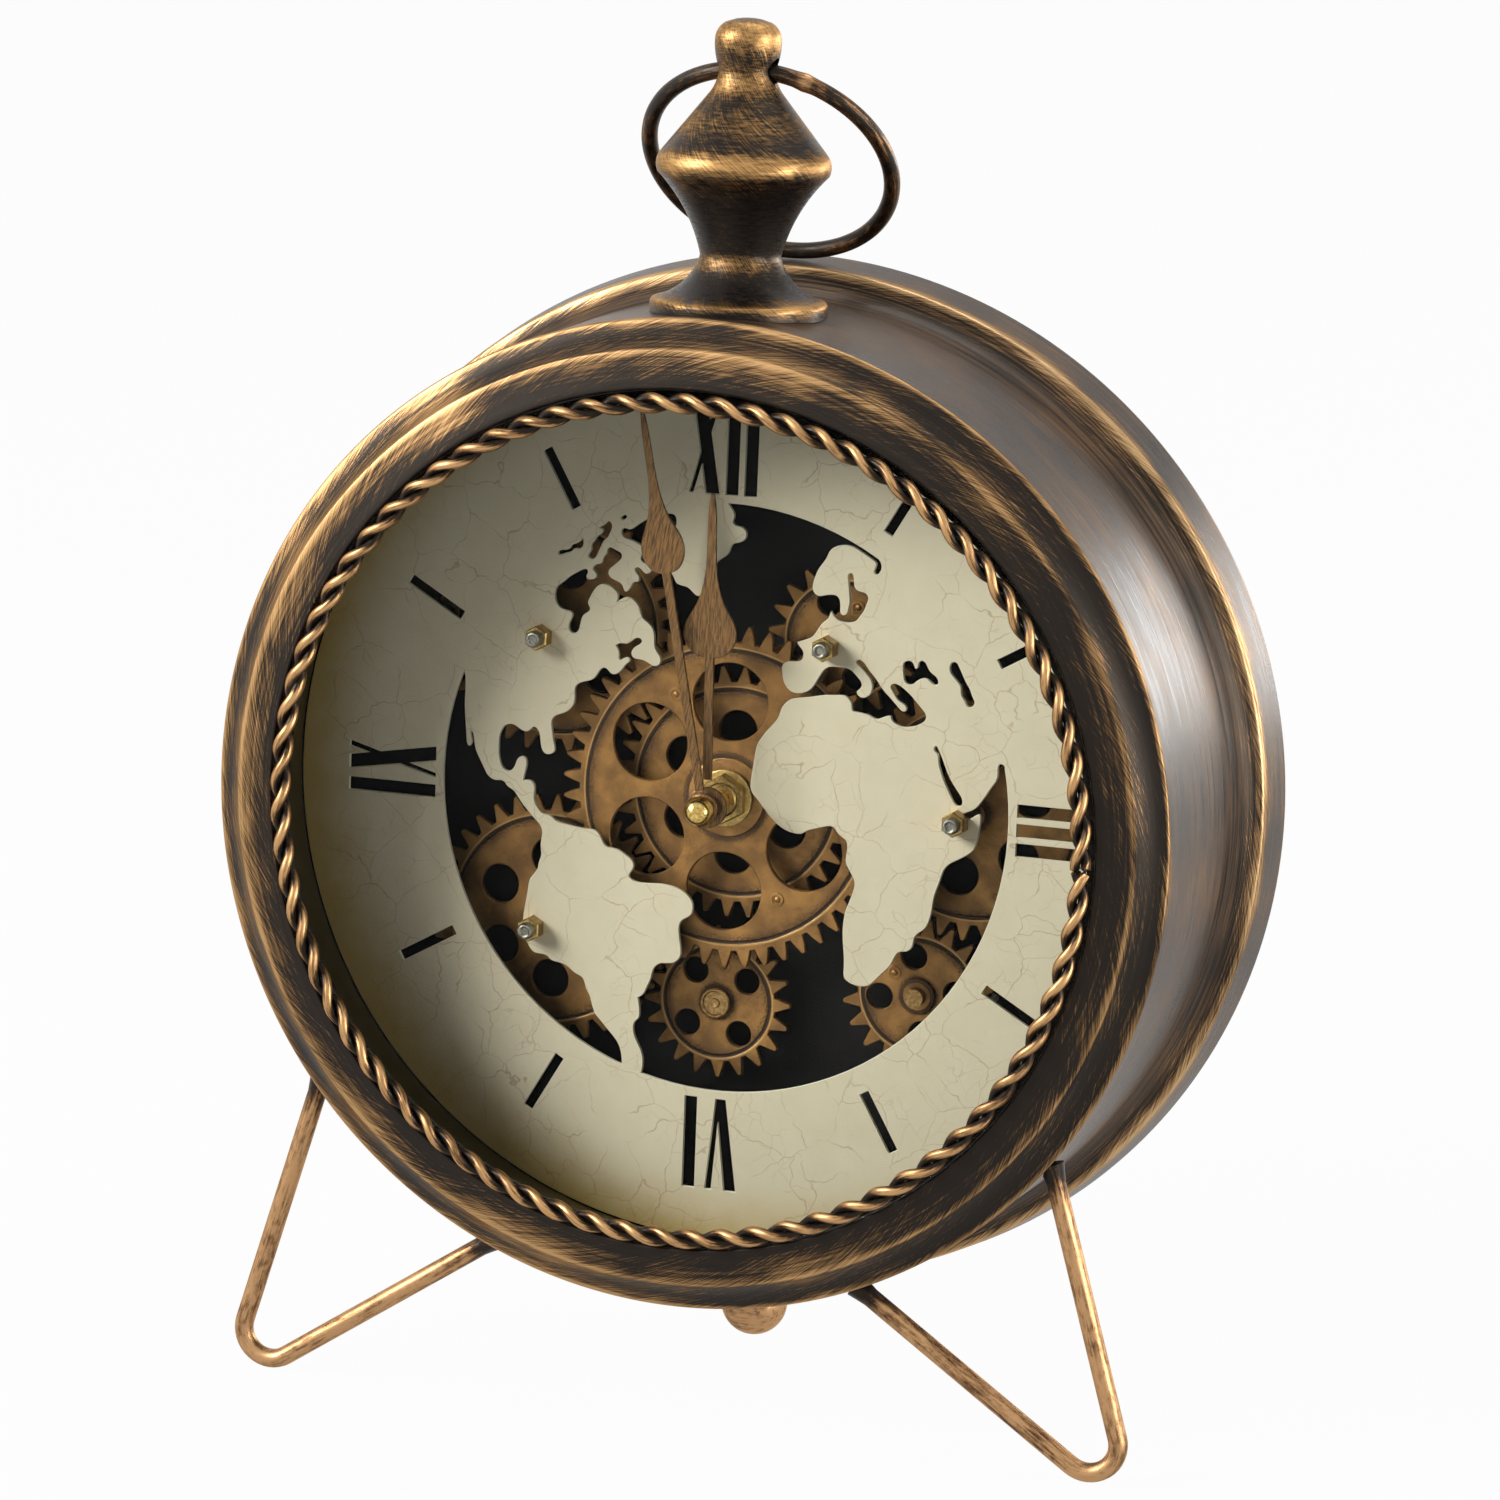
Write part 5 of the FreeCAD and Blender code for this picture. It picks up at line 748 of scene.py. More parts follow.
# Rope wire: gold on the high side of each strand, black in the twist
ROPE = worn_finish("rope_gold", "#15100d", "#35271a", "#6f5033", "#c29868", "", 0.4, 0.34)
# Wire of the legs, the ring and the ball foot: gold bronze, with black where the brush missed
WIRE = worn_finish("wire_bronze", "#1a1614", "#3d2f22", "#6d4f35", "#b88f65", "", 0.3, 0.34)
# Painted sheet of the dial: warm cream with hair cracks, a yellowed rim, and painted shade at its left
# and bottom
DIAL = dial_finish()
# Pressed bronze wheels, each with its groove's radius and its hub's radius in millimetres
GEAR_FRONT = gear_finish("gear_bronze_front", 37.0, 10.0)
GEAR_LARGE = gear_finish("gear_bronze_large", 26.0, 3.5)
GEAR_SMALL = gear_finish("gear_bronze_small", 14.0, 3.5)
# Brushed bronze of both hands, a shade darker than the wheels behind them
HAND = hand_finish()
# Polished brass of the ball nut
BRASS = metal_finish("polished_brass", "#b8934a", "#dcbd78", 0.14)
# Brass that has dulled: the small nuts, and the bush with its nut and washer
DULL_BRASS = metal_finish("dull_brass", "#8a7040", "#b8995e", 0.28)
# Dull bronze of the two small gears' axle ends
AXLE_BRONZE = metal_finish("dull_bronze", "#7a5c34", "#a88654", 0.34, 0.8)
# Turned steel of the axles, screws and shafts
STEEL = metal_finish("turned_steel", "#67645b", "#8f8a7d", 0.32)
# Satin black paint of the plate behind the gears
PLATE_BLACK = plain_finish("satin_black_plate", "#090707", "#120f0d", 0.5, 0.12)
# Gloss black of the cone between glass and dial
CONE_BLACK = plain_finish("gloss_black_cone", "#0b0a0a", "#131110", 0.16, 0.4, 0.3, 0.05)
# Satin black paint of the rear cover, a little greyer than the plate
COVER_BLACK = plain_finish("satin_black_cover", "#1a1817", "#262322", 0.42, 0.4)
# Matte moulded plastic of the movement and the battery box
PLASTIC = plain_finish("matte_black_plastic", "#161617", "#202022", 0.55, 0.5, 2.0)
# Moulded white plastic of the setting knob and the switch
WHITE_PLASTIC = plain_finish("white_plastic", "#d0cfca", "#dedcd6", 0.45, 0.5, 2.0)
# Plain dark green film round the cells
CELL = plain_finish("cell_jacket", "#20382a", "#2c4a38", 0.3, 0.5, 0.6)
# Float glass over the dial, all but free of reflections
GLASS = glass_finish()


# Drum

def crest_wear(profile, crests, base):
    """Wear for each point of a profile.

    A crest is (along, radius, its wear, its width, the wear of its fringe, the fringe's width).
    """
    values = []
    for p in profile:
        level = base
        for along, radius, top, width, fringe, reach in crests:
            d = math.dist(p, (along, radius))
            level = max(level, top * math.exp(-(d / width) ** 2))
            level = max(level, fringe * math.exp(-(d / reach) ** 2))
        values.append(level)
    return values


def sway_gold(bm, sway):
    """More gold on the drum's left, top and bottom than on its right."""
    layer = bm.verts.layers.float["wear"]
    for v in bm.verts:
        t = math.atan2(v.co.z, v.co.x)
        more = sway * (0.6 * abs(math.sin(t)) - math.cos(t))
        v[layer] += more * min(1.0, 3 * v[layer])


def make_bezel():
    cove = arc3(FACE_CREST, (-30.9, 118.4), SIDE_CREST, 12)
    lip = [(-31.25, 105.75), (-35.6, 105.75), FACE_CREST, cove[2]]
    tail = rounded([cove[-3], SIDE_CREST, (-27.65, 122.55)], {1: 0.9})
    profile = rounded(lip, {1: 0.7, 2: 1.3})[:-1] + cove[2:-2] + tail
    profile = split_long(profile, 1.6)
    inner = [
        (-27.65, 121.4), (-28.0, 121.2), (-29.7, 117.6),
        (-32.9, 114.6), (-34.2, 106.95), (-31.25, 106.95),
    ]
    crests = [(-34.2, 115.1, 0.82, 1.1, 0.46, 7.0), (-28.8, 122.4, 0.85, 1.2, 0.45, 4.5)]
    wear = crest_wear(profile, crests, 0.06) + [0.0] * len(inner)
    bm = revolve(profile + inner, DRUM_STEPS, wear=wear)
    sway_gold(bm, 0.15)
    add_piece("bezel_look", bm, BEZEL, "front_bezel")


def make_case():
    cove = arc3(BAND_REAR, (30.7, 125.9), REAR_CREST, 10)
    band = rounded([(-27.6, 121.85), BAND_FRONT, BAND_REAR, cove[2]], {2: 1.2}, 5)
    rear = [cove[-3], REAR_CREST, (47.5, 132.2), (50.5, 131.6), (50.5, 126.0)]
    profile = band[:-1] + cove[2:-2] + rounded(rear, {1: 1.3, 2: 1.6, 3: 1.9})
    profile = split_long(profile, 2.2)
    inner = [
        (49.3, 126.0), (49.3, 129.2), (47.6, 131.0), (34.3, 129.2),
        (31.4, 124.6), (25.8, 122.6), (-27.6, 120.8),
    ]
    crests = [
        (-27.3, 122.0, 0.7, 1.2, 0.34, 5.0), (33.6, 130.3, 0.92, 2.0, 0.54, 5.5),
        (49.6, 131.4, 0.62, 1.6, 0.36, 5.0),
    ]
    wear = crest_wear(profile, crests, 0.16) + [0.0] * len(inner)
    bm = revolve(profile + inner, DRUM_STEPS, wear=wear)
    sway_gold(bm, 0.06)
    add_piece("case_look", bm, CASE, "case_body")


def make_cone():
    profile = [
        (-31.15, 103.0), (-30.05, 103.0), (-30.0, 105.6), (-29.6, 106.1), (-0.05, 111.65),
        (1.2, 111.7), (1.2, 112.9), (0.0, 112.9), (-31.15, 106.9),
    ]
    bm = revolve(profile, 200)
    add_piece("cone_look", bm, CONE_BLACK, "dial_cone", sharp=20)


def make_glass():
    rear, front, radius = -31.25, -33.7, 105.4
    edge = rounded([(rear, 60.0), (rear, radius), (front, radius), (front, 60.0)], {1: 0.4, 2: 0.4}, 3)
    bm = revolve([(rear, 0.0)] + edge + [(front, 0.0)], 160, closed=False)
    add_piece("glass_look", bm, GLASS, "glass")


def make_rope():
    strands = []
    steps = ROPE_TURNS * 14
    for start in (0.0, math.pi):
        path, radii = [], []
        for k in range(steps):
            t = math.tau * k / steps
            turn = ROPE_TURNS * t + start
            swell = math.exp(-((t - ROPE_JOINT) / 0.028) ** 2)
            lay = ROPE_STRAND * (1 - 0.3 * swell)
            r, y = ROPE_RING + lay * math.cos(turn), ROPE_Y + lay * math.sin(turn)
            path.append(Vector((r * math.cos(t), y, r * math.sin(t))))
            radii.append(ROPE_STRAND * (0.985 + 0.28 * swell))
        bm = sweep(path, radii, 10, Vector((1, 0, 0)), closed=True)
        layer = bm.verts.layers.float["wear"]
        for v in bm.verts:
            r = math.hypot(v.co.x, v.co.z)
            high = math.hypot(r - ROPE_RING, v.co.y - ROPE_Y) / (2 * ROPE_STRAND)
            v[layer] = -0.4 + 1.35 * min(1.0, max(0.0, (high - 0.34) / 0.6))
        strands.append(bm)
    add_piece("rope_look", join(*strands), ROPE, "rope_trim", sharp=80)


def make_dial():
    loops = [without_near(smooth_loop(loop), 0.2) for loop in cad_loops("dial_plate", 0.0)]
    loops[0] = circle(DIAL_RADIUS, n=200)
    loops = [loop for loop in loops if abs(area(loop)) > 0.6]
    bm = plate(loops, 0.0, DIAL_THICK, 0.12)
    add_piece("dial_look", bm, DIAL, "dial_plate", sharp=30)


# Gears

def gear_loop(teeth, root, tip, tooth_deg, centre, middle=0.0):
    """Outline of a toothed wheel whose tips are slightly rounded.

    middle is the width of a tooth halfway up, where its flanks bulge.
    """
    pairs = [(root, TOOTH_ROOT_WIDTH / 2)]
    if middle:
        pairs.append(((root + tip) / 2, middle / 2))
    slope = (TOOTH_ROOT_WIDTH - TOOTH_TIP_WIDTH) / (tip - root)
    half = TOOTH_TIP_WIDTH / 2
    pairs += [(tip - 0.45, half + slope * 0.225), (tip - 0.1, half), (tip, half - 0.25)]
    points = []
    for k in range(teeth):
        axis = math.radians(tooth_deg + 360 * k / teeth)
        rise = [(r, axis - w / r) for r, w in pairs]
        fall = [(r, axis + w / r) for r, w in pairs[::-1]]
        for r, a in rise + fall:
            points.append((centre[0] + r * math.cos(a), centre[1] + r * math.sin(a)))
    return points


def train():
    """Centre, tooth direction and tooth count of each gear, worked out as they mesh."""
    places = {"centre_gear_rear": ((0.0, 0.0), 3.0, LARGE_TEETH)}
    steps = (
        ("upper_left_gear", "centre_gear_rear", 142.8, LARGE_TEETH),
        ("left_gear", "centre_gear_rear", 217.6, LARGE_TEETH),
        ("right_gear", "centre_gear_rear", 0.5, LARGE_TEETH),
        ("top_right_gear", "centre_gear_rear", 57.2, SMALL_TEETH),
        ("bottom_gear", "left_gear", -20.3, SMALL_TEETH),
        ("lower_right_gear", "right_gear", -104.0, SMALL_TEETH),
    )
    for name, mate, way, teeth in steps:
        mate_centre, mate_deg, mate_teeth = places[mate]
        centre = shifted(mate_centre, PITCH_PER_TOOTH * (mate_teeth + teeth), way)
        past = ((way - mate_deg) * mate_teeth / 360) % 1
        places[name] = (centre, way + 180 + (past + 0.5) * 360 / teeth, teeth)
    return places


TRAIN = train()


def rivet(y_face, centre):
    """Small rivet head inside a raised ring."""
    ring = disc(y_face - 0.22, y_face + 0.1, 1.75, centre, 1.25, 0.1, 24)
    base, radius, rise = y_face + 0.05, 0.85, 0.45
    profile = [(base + 0.2, 0.0), (base + 0.2, radius), (base, radius)]
    profile += [(base - rise * math.sin(a), radius * math.cos(a)) for a in (0.5, 1.0, 1.35)]
    profile.append((base - rise, 0.0))
    return [ring, revolve(profile, 16, closed=False, centre=centre)]


def hub_bosses(centre, radius, bore):
    """Raised discs on both faces of a wheel."""
    front, rear = REAR_GEAR_Y, REAR_GEAR_Y + GEAR_THICK
    return [
        disc(front - HUB_RISE, front + HUB_SINK, radius, centre, bore),
        disc(rear - HUB_SINK, rear + HUB_RISE, radius, centre, bore),
    ]


def add_wheel(name, body, material, blank, extras, centre=(0, 0)):
    """A wheel's blank with its bosses and rivets."""
    whole = join(blank, *extras)
    face_map(whole, centre)
    add_piece(name + "_look", whole, material, name, body)


def add_gear(name, body, first_hole, extras):
    """A wheel of the train, with its ring of round holes."""
    centre, tooth_deg, teeth = TRAIN[name]
    large = teeth == LARGE_TEETH
    count, hole, ring = (6, 5.0, 15.8) if large else (4, 3.3, 9.8)
    pitch = PITCH_PER_TOOTH * teeth
    loops = [gear_loop(teeth, pitch - DEDENDUM, pitch + ADDENDUM, tooth_deg, centre)]
    for k in range(count):
        loops.append(circle(hole, shifted(centre, ring, first_hole + 360 * k / count), 36))
    blank = plate(loops, REAR_GEAR_Y, GEAR_THICK, 0.2)
    add_wheel(name, body, GEAR_LARGE if large else GEAR_SMALL, blank, extras, centre)


def make_gears():
    # Wheel, body, direction of its first hole, rivet's circle and direction, boss and bore
    wheels = (
        ("upper_left_gear", "upper_left_wheel", 20.0, (22.0, 100.0), (3.5, 1.55)),
        ("left_gear", "left_wheel", 31.5, (22.0, 80.0), (3.5, 1.55)),
        ("right_gear", "right_wheel", 20.0, (21.3, -71.0), (3.5, 1.55)),
        ("top_right_gear", "top_right_wheel", 22.0, (9.0, 67.0), (3.5, 1.55)),
        ("bottom_gear", "bottom_wheel", 38.0, (9.5, 80.0), (3.5, 1.55)),
        ("lower_right_gear", "lower_right_wheel", 7.5, (8.0, 140.0), (4.5, 2.32)),
    )
    for name, body, first_hole, rivet_place, boss in wheels:
        centre = TRAIN[name][0]
        extras = hub_bosses(centre, *boss) + rivet(REAR_GEAR_Y, shifted(centre, *rivet_place))
        add_gear(name, body, first_hole, extras)
    sleeve_end = disc(REAR_GEAR_Y + 0.2, REAR_GEAR_Y + 1.4, 6.6, (0, 0), 6.02)
    add_gear("centre_gear_rear", "centre_gears", 30.0, [sleeve_end])


def make_front_gear():
    loops = [gear_loop(FRONT_TEETH, 39.2, 43.4, 4.9, (0, 0), 2.5)]
    loops += [circle(9.9, polar(24.0, 30 + 60 * k)) for k in range(6)]
    loops.append(circle(6.0, n=40))
    blank = plate(loops, FRONT_GEAR_Y, GEAR_THICK, 0.22)
    extras = [disc(FRONT_GEAR_Y - 0.5, FRONT_GEAR_Y + 0.2, 10.0, (0, 0), 6.0, 0.3, 64)]
    for angle in (120, 300):
        extras += rivet(FRONT_GEAR_Y, polar(28.5, angle))
    add_wheel("centre_gear_front", "centre_gears", GEAR_FRONT, blank, extras)


# Nuts, pins and the centre stack

def make_pins():
    """The four axles that end on the dial in a nut and a round head with a recess."""
    nuts, pins = [], []
    for name in ("upper_left_gear", "left_gear", "right_gear", "top_right_gear"):
        centre = TRAIN[name][0]
        loops = [hexagon(DIAL_NUT_ACROSS, centre), circle(PIN_RADIUS, centre, 24)]
        nuts.append(plate(loops, -DIAL_NUT_THICK, DIAL_NUT_THICK, 0.3))
        profile = [
            (PIN_REAR_Y, 0.0), (PIN_REAR_Y, 2.6), (PIN_REAR_Y - 0.8, 2.6),
            (PIN_REAR_Y - 0.8, PIN_RADIUS), (-DIAL_NUT_THICK, PIN_RADIUS),
            (-DIAL_NUT_THICK, 2.1), (-5.9, 2.1), (-6.4, 1.75), (-6.5, 1.35), (-6.3, 1.05),
            (-5.9, 0.95), (-5.9, 0.0),
        ]
        pins.append(revolve(profile, 28, closed=False, centre=centre))
    add_piece("dial_nuts_look", join(*nuts), DULL_BRASS, "dial_nuts")
    add_piece("axle_pins_look", join(*pins), STEEL, "axle_pins")


def make_stub_axle():
    """The bottom wheel's axle, whose flat head has a small recess and a raised rim."""
    front = REAR_GEAR_Y - HUB_RISE - 0.95
    profile = [
        (front + 0.35, 0.0), (front + 0.35, 0.1), (front, 0.75), (front, 1.1),
        (front + 0.4, 1.3), (front + 0.4, 2.9), (front, 3.2), (front, 3.6),
        (front + 0.3, 3.9), (front + 0.8, 3.9), (front + 0.8, PIN_RADIUS),
        (PIN_REAR_Y, PIN_RADIUS), (PIN_REAR_Y, 0.0),
    ]
    bm = revolve(profile, 40, closed=False, centre=TRAIN["bottom_gear"][0])
    add_piece("stub_axle_look", bm, AXLE_BRONZE, "stub_axle")


def make_bush():
    """Threaded bush of the movement with its washer and nut."""
    nut = plate([hexagon(HUB_NUT_ACROSS), circle(BUSH_RADIUS, n=40)], 0.6, 2.6, 0.35)
    add_piece("hub_nut_look", nut, DULL_BRASS, "hub_nut")
    washer = disc(3.2, 4.2, 7.2, (0, 0), BUSH_RADIUS, 0.2)
    add_piece("hub_washer_look", washer, DULL_BRASS, "hub_washer")
    profile = [(BUSH_REAR_Y, BUSH_BORE), (0.0, BUSH_BORE), (0.0, BUSH_RADIUS - 0.3)]
    for k in range(9):
        crest = 0.3 + THREAD_PITCH * k
        profile += [(crest, BUSH_RADIUS), (crest + THREAD_PITCH / 2, BUSH_RADIUS - 0.28)]
    profile += [(5.0, BUSH_RADIUS), (BUSH_REAR_Y, BUSH_RADIUS)]
    add_piece("bush_look", revolve(profile, 40), DULL_BRASS, "movement_bush")


def hand_boss(y, radius, bore):
    """Boss that stands out a little from both faces of a hand."""
    return disc(y - 0.2, y + HAND_THICK + 0.2, radius, (0, 0), bore, 0.3)


def make_hands():
    """Both hands, brushed a little to the right of twelve, the minute hand with its collet."""
    outline = smooth_loop(cad_loops("hour_hand", HOUR_HAND_Y)[0])
    hour = plate([outline], HOUR_HAND_Y, HAND_THICK, 0.15)
    hour = join(hour, hand_boss(HOUR_HAND_Y, HOUR_BOSS_RADIUS, 2.5))
    face_map(hour, degrees=1.0)
    add_piece("hour_hand_look", hour, HAND, "hour_hand", "hour_group")
    outline = smooth_loop(cad_loops("minute_hand", MINUTE_HAND_Y)[0])
    minute = plate([outline], MINUTE_HAND_Y, HAND_THICK, 0.15)
    boss = hand_boss(MINUTE_HAND_Y, MINUTE_BOSS_RADIUS, SHAFT_RADIUS)
    collet = disc(MINUTE_HAND_Y + 1.0, MINUTE_HAND_Y + 2.4, 2.4, (0, 0), SHAFT_RADIUS, 0.2)
    minute = join(minute, boss, collet)
    face_map(minute, degrees=11.3)
    add_piece("minute_hand_look", minute, HAND, "minute_hand", "minute_group")


def make_ball_nut():
    low = [
        (BALL_NUT_Y + BALL_NUT_RADIUS * math.sin(a), BALL_NUT_RADIUS * math.cos(a))
        for a in (0.68, 0.55, 0.4, 0.25, 0.1)
    ]
    cap = [
        (BALL_NUT_Y - BALL_NUT_RADIUS * math.sin(a), BALL_NUT_RADIUS * math.cos(a))
        for a in (math.pi / 2 * k / 12 for k in range(12))
    ]
    neck = [(-14.6, 0.0), (-14.6, SHAFT_RADIUS), (-13.65, SHAFT_RADIUS), (-13.65, 2.96)]
    profile = neck + low + cap + [(BALL_NUT_Y - BALL_NUT_RADIUS, 0.0)]
    bm = revolve(profile, 48, closed=False)
    add_piece("cap_nut_look", bm, BRASS, "cap_nut", "minute_group", sharp=50)


# Finial and ring

def make_finial():
    # Points are (radius, z)
    edge = arc3((21.8, 123.6), (21.42, 124.52), (20.5, 124.9), 5)
    low = arc3((20.5, 124.9), (12.55, 130.15), (9.9, 135.4), 14)
    rise = arc3((9.9, 135.4), (13.6, 145.4), (21.0, 155.4), 16)
    shoulder = arc3((21.0, 155.4), (21.4, 157.8), (20.4, 160.4), 8)
    throat = arc3((9.4, 174.3), (7.525, 177.45), (NECK_RADIUS, NECK_Z), 6)
    ball = arc3((NECK_RADIUS, NECK_Z), (8.03, 185.06), (8.15, 187.67), 6)
    crown = arc3((8.15, 187.67), (7.38, 190.27), (5.6, 191.95), 6)
    outline = [(0.0, 119.0), (21.8, 119.0)] + edge + low[1:] + rise[1:] + shoulder[1:]
    outline += [(18.5, 162.8)] + throat + ball[1:] + crown[1:]
    outline += [(3.1, 192.75), (1.4, 192.98), (0.0, 193.0)]
    profile = split_long([(z, r) for r, z in outline], 1.8)
    crests = [
        (158.8, 21.2, 0.88, 4.2, 0.56, 8.5), (124.6, 21.0, 0.85, 1.6, 0.48, 4.5),
        (189.5, 7.0, 0.78, 6.5, 0.6, 9.0), (177.0, 8.3, 0.74, 4.5, 0.60, 8.0),
        (167.5, 15.5, 0.60, 8.0, 0.52, 10.0), (134.0, 10.2, 0.50, 3.5, 0.3, 5.0),
    ]
    bm = revolve(profile, 96, "Z", closed=False, wear=crest_wear(profile, crests, 0.04))
    for v in bm.verts:
        if v.co.z < 122.5:
            v.co.z = math.sqrt(band_radius(v.co.y) ** 2 - v.co.x ** 2) + WELD_GAP + 0.01
    ends = [(-30.0, 0.0), (-30.0, NECK_HOLE_RADIUS), (30.0, NECK_HOLE_RADIUS), (30.0, 0.0)]
    hole = revolve(ends, 32, "Z", closed=False)
    place = Matrix.Translation((0, 0, NECK_Z)) @ Matrix.Rotation(math.pi / 2, 4, "Y")
    bmesh.ops.transform(hole, matrix=place, verts=hole.verts)
    add_piece("finial_look", cut(bm, hole), FINIAL, "finial", sharp=40)


def make_ring():
    """The bail ring through the finial's neck, with more gold on its upper right half and less on its
    upper left, and its weld at one side.
    """
    path, radii, wear = [], [], []
    c, s = math.cos(RING_REST), math.sin(RING_REST)
    steps = 160
    for k in range(steps):
        t = math.tau * k / steps
        down = RING_RADIUS + RING_RADIUS * math.cos(t)
        path.append(Vector((RING_RADIUS * math.sin(t), down * s, NECK_Z - down * c)))
        weld = math.exp(-((t - RING_SEAM) / 0.05) ** 2)
        radii.append(RING_WIRE + 0.30 * weld)
        # More gold on the upper right half of the ring and less on the upper left, and more at the
        # weld
        wear.append(0.36 + 0.16 * math.sin(t) * max(0.0, -math.cos(t)) + 0.4 * weld)
    bm = sweep(path, radii, 20, Vector((0, c, s)), closed=True, wear=wear)
    add_piece("bail_ring_look", bm, WIRE, "bail_ring", "bail_ring", sharp=80)


# Legs and foot

def leg_point(height, degrees):
    """Point beside the drum, that far out from its side."""
    return Vector(polar(band_radius(LEG_Y) + height, degrees))


def on_side(outside, inner, seat):
    """Where a wire's middle line from outside meets the drum's side."""
    meets = geometry.intersect_line_sphere_2d(outside, inner, (0, 0), seat)
    return next(point for point in meets if point)


def make_legs():
    """Wire bent once and welded to the drum's side by both ends."""
    outer, inner = leg_point(-LEG_SINK, LEG_OUTER_DEG), leg_point(-LEG_SINK, LEG_INNER_DEG)
    corner = leg_point(LEG_REACH, LEG_CORNER_DEG)
    bent = rounded([tuple(outer), tuple(corner), tuple(inner)], {1: LEG_BEND_RADIUS}, 16)
    start, end = Vector(bent[1]), Vector(bent[-2])
    seat = band_radius(LEG_Y) + WELD_GAP
    first, last = on_side(start, outer, seat), on_side(end, inner, seat)
    flat = split_long([tuple(first), tuple(start)], 2.5)[:-1] + bent[1:-1]
    flat += split_long([tuple(end), tuple(last)], 2.5)[1:]
    near = [min(math.dist(p, first), math.dist(p, last)) for p in flat]
    wear = [0.92 - 0.70 * math.exp(-(d / 9.0) ** 2) for d in near]
    radii = [LEG_WIRE + 0.75 * math.exp(-(d / 2.6) ** 4) for d in near]
    for side, node in ((-1, "left_leg"), (1, "right_leg")):
        path = [Vector((side * x, LEG_Y, z)) for x, z in flat]
        bm = sweep(path, radii, 20, Vector((0, 1, 0)), wear=wear)
        for v in bm.verts:
            gap = seat - math.hypot(v.co.x, v.co.z)
            place = (abs(v.co.x), v.co.z)
            if gap > -3.2 and min(math.dist(place, first), math.dist(place, last)) < 4.0:
                v.co += Vector((v.co.x, 0, v.co.z)).normalized() * max(gap, 0.0)
        add_piece(node + "_look", bm, WIRE, node, sharp=60)


def make_ball():
    """Ball foot under the rear edge, the size of its CAD node."""
    low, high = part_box("ball_foot")
    middle = FROM_ROW @ ((low + high) / 2)
    radius = (high.z - low.z) / 2 / MM
    turns = [math.pi * k / 24 for k in range(25)]
    profile = [(middle.z - radius * math.cos(a), radius * max(math.sin(a), 0.0)) for a in turns]
    bm = revolve(profile, 40, "Z", closed=False, wear=[0.95] * len(profile))
    grain = bm.verts.layers.float_vector.new("grain")
    for v in bm.verts:
        v[grain] = v.co / 2
    bmesh.ops.translate(bm, vec=(0, middle.y, 0), verts=bm.verts)
    add_piece("ball_foot_look", bm, WIRE, "ball_foot", sharp=80)


# Rear

def make_rear():
    loops = cad_loops("back_cover", COVER_Y)
    loops[0] = circle(COVER_RADIUS, n=200)
    bm = plate(loops, COVER_Y, COVER_THICK, 0.25)
    add_piece("back_cover_look", bm, COVER_BLACK, "back_cover")
    paint(PLATE_BLACK, "plate_black", "gear_plate")
    paint(AXLE_BRONZE, "gear_bronze", "motor_shaft")
    paint(
        STEEL, "steel", "axle_spacers", "plate_screws", "centre_sleeve", "gear_motor",
        "motor_screws", "movement_contacts", "box_contacts", "cover_screws",
    )
    paint(PLASTIC, "movement_black", "movement_case", "battery_box", "battery_lid")
    paint(WHITE_PLASTIC, "knob_white", "setting_knob", "switch_slider")
    paint(CELL, "battery_steel", "movement_battery", "box_batteries")
    paint(BRASS, "brass", "hour_tube", "minute_shaft")


make_bezel()
make_case()
make_cone()
make_glass()
make_rope()
make_dial()
make_gears()
make_front_gear()
make_pins()
make_stub_axle()
make_bush()
make_hands()
make_ball_nut()
make_finial()
make_ring()
make_legs()
make_ball()
make_rear()


# Floor, light and camera

# Rays that see the background and the floor as plain white
WHITE_RAYS = ("Is Camera Ray", "Is Glossy Ray", "Is Transmission Ray")
FLOOR_SIZE = 9.0
FLOOR_GAP = 0.0002
WORLD_LIGHT = 0.13
LIGHT_TARGET = Vector((0, 0, 0.17))
# Name, place in metres, width and height, watts, and whether it lights glossy rays only
LIGHTS = (
    ("key", (-1.42, -1.08, 1.15), (0.9, 0.9), 51.0, False),
    ("fill", (1.6, -0.02, 0.7), (0.8, 1.0), 13.0, False),
    ("rim", (1.05, 1.5, 0.26), (1.3, 0.5), 17.0, False),
    ("sheen", (1.7, -0.45, 0.30), (0.8, 0.6), 16.0, True),
    ("top", (0.1, 0.5, 1.4), (0.9, 0.6), 6.0, False),
)
# Camera: degrees to the side, upwards and of roll, and the dial's centre as it sees it, to the
# right, down and away in millimetres
CAMERA_TURN = (18.47, 10.62, 2.17)
DIAL_SEEN = (-7.348, 12.476, 1363.006)
SENSOR = 36.0
# Focal length over the width of the picture
CAMERA_ZOOM = 3.6593


def seen_white(tree):
    """1 for the rays that see plain white, 0 for the others."""
    path = add_node(tree, "LightPath").node.outputs
    rays = add_node(tree, "CombineXYZ", *(path[name] for name in WHITE_RAYS))
    return add_node(tree, "VectorMath LENGTH", rays)


def floor_finish():
    """White that the camera sees as white, with the object's shadow still on it."""
    g = Finish("pale_floor")
    tint = g.add("TexNoise", g.add("TexCoord").node.outputs["Object"], 2.0, 2.0, 0.55)
    g.set(Base_Color=g.add(MIX, tint, linear("#a4a4a4"), linear("#acacac")))
    g.set(Roughness=0.9, Specular_IOR_Level=0.0)
    glow = g.add("Emission", linear("#ffffff"), 1.0)
    share = g.add(TIMES, seen_white(g.tree), 0.97)
    g.end_in(g.add("MixShader", share, g.shader.outputs[0], glow))
    return g.material


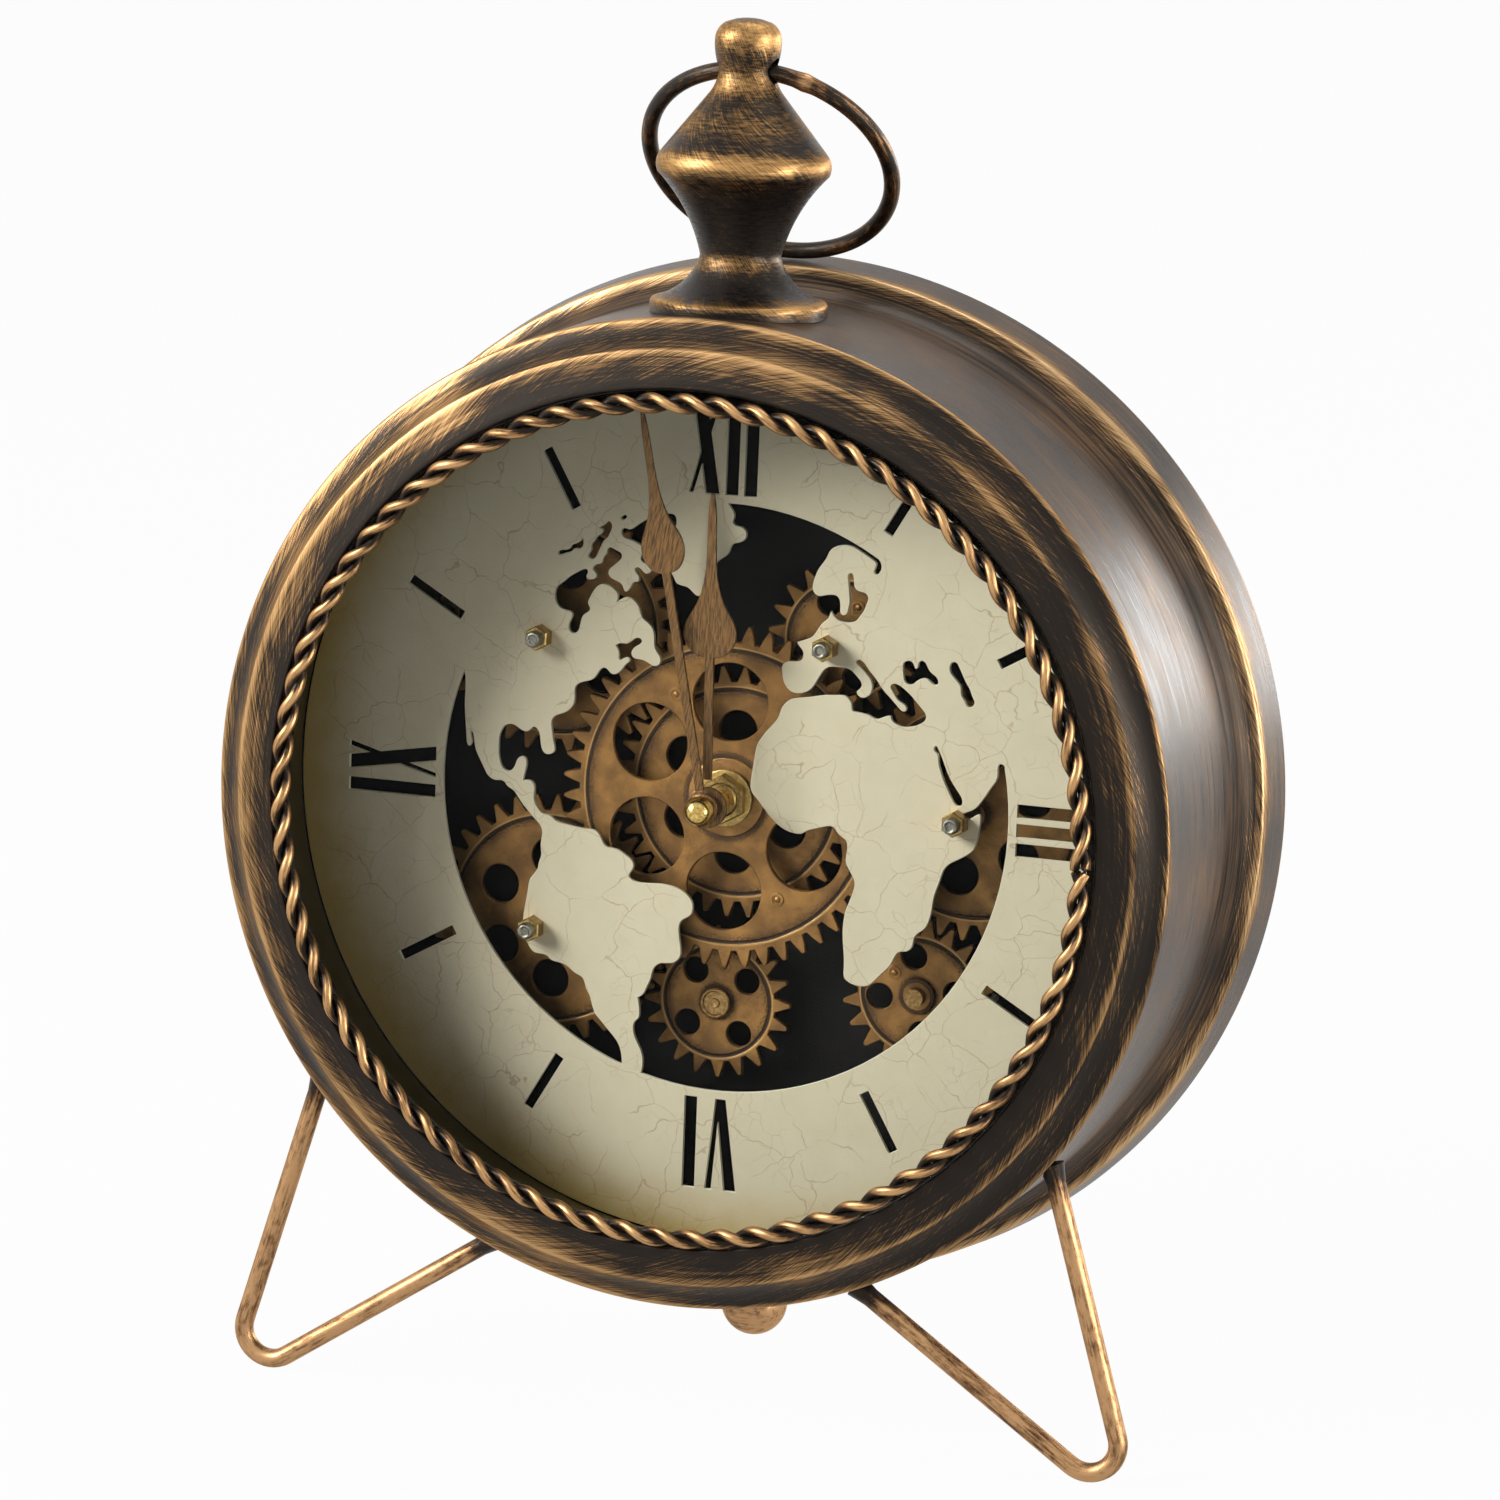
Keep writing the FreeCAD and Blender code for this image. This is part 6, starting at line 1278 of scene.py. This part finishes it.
def make_floor():
    bm = bmesh.new()
    bmesh.ops.create_grid(bm, x_segments=1, y_segments=1, size=FLOOR_SIZE)
    bmesh.ops.translate(bm, vec=(0, 0, -FLOOR_GAP), verts=bm.verts)
    mesh = bpy.data.meshes.new("floor")
    bm.to_mesh(mesh)
    bm.free()
    mesh.materials.append(floor_finish())
    floor = bpy.data.objects.new("floor", mesh)
    bpy.context.scene.collection.objects.link(floor)


def make_world():
    """White to the camera and in reflections and the glass, and a faint light on the rest."""
    world = bpy.data.worlds.new("studio")
    bpy.context.scene.world = world
    world.use_nodes = True
    tree = world.node_tree
    back = next(n for n in tree.nodes if n.type == "BACKGROUND")
    strength = add_node(tree, BLEND, seen_white(tree), WORLD_LIGHT, 1.0)
    feed(tree, back.inputs["Strength"], strength)
    feed(tree, back.inputs["Color"], linear("#ffffff"))


def make_lights():
    for name, place, size, watts, gloss_only in LIGHTS:
        light = bpy.data.lights.new(name, "AREA")
        light.shape = "RECTANGLE"
        light.size, light.size_y = size
        light.energy = watts
        obj = bpy.data.objects.new(name, light)
        bpy.context.scene.collection.objects.link(obj)
        obj.location = place
        obj.rotation_euler = (LIGHT_TARGET - obj.location).to_track_quat("-Z", "Y").to_euler()
        obj.visible_diffuse = not gloss_only


def make_camera():
    """The photograph's camera, placed by the dial's centre and turned in the drum's axes."""
    a, e, roll = (math.radians(v) for v in CAMERA_TURN)
    right = Vector((math.cos(a), math.sin(a), 0))
    back = Vector((math.sin(a) * math.cos(e), -math.cos(a) * math.cos(e), math.sin(e)))
    upright = Matrix((right, back.cross(right), back))
    axes = Matrix.Rotation(-roll, 3, "Z") @ upright
    x, down, away = DIAL_SEEN
    centre = -(axes.transposed() @ Vector((x, -down, -away)))
    data = bpy.data.cameras.new("camera")
    data.sensor_width = SENSOR
    data.lens = SENSOR * CAMERA_ZOOM
    data.clip_start, data.clip_end = 0.05, 20.0
    camera = bpy.data.objects.new("camera", data)
    bpy.context.scene.collection.objects.link(camera)
    turn = Matrix.Rotation(-LEAN, 3, "X") @ axes.transposed()
    camera.matrix_world = Matrix.Translation(TO_ROW @ centre) @ turn.to_4x4()
    bpy.context.scene.camera = camera


make_floor()
make_world()
make_lights()
make_camera()
bpy.context.scene.view_settings.view_transform = "Standard"
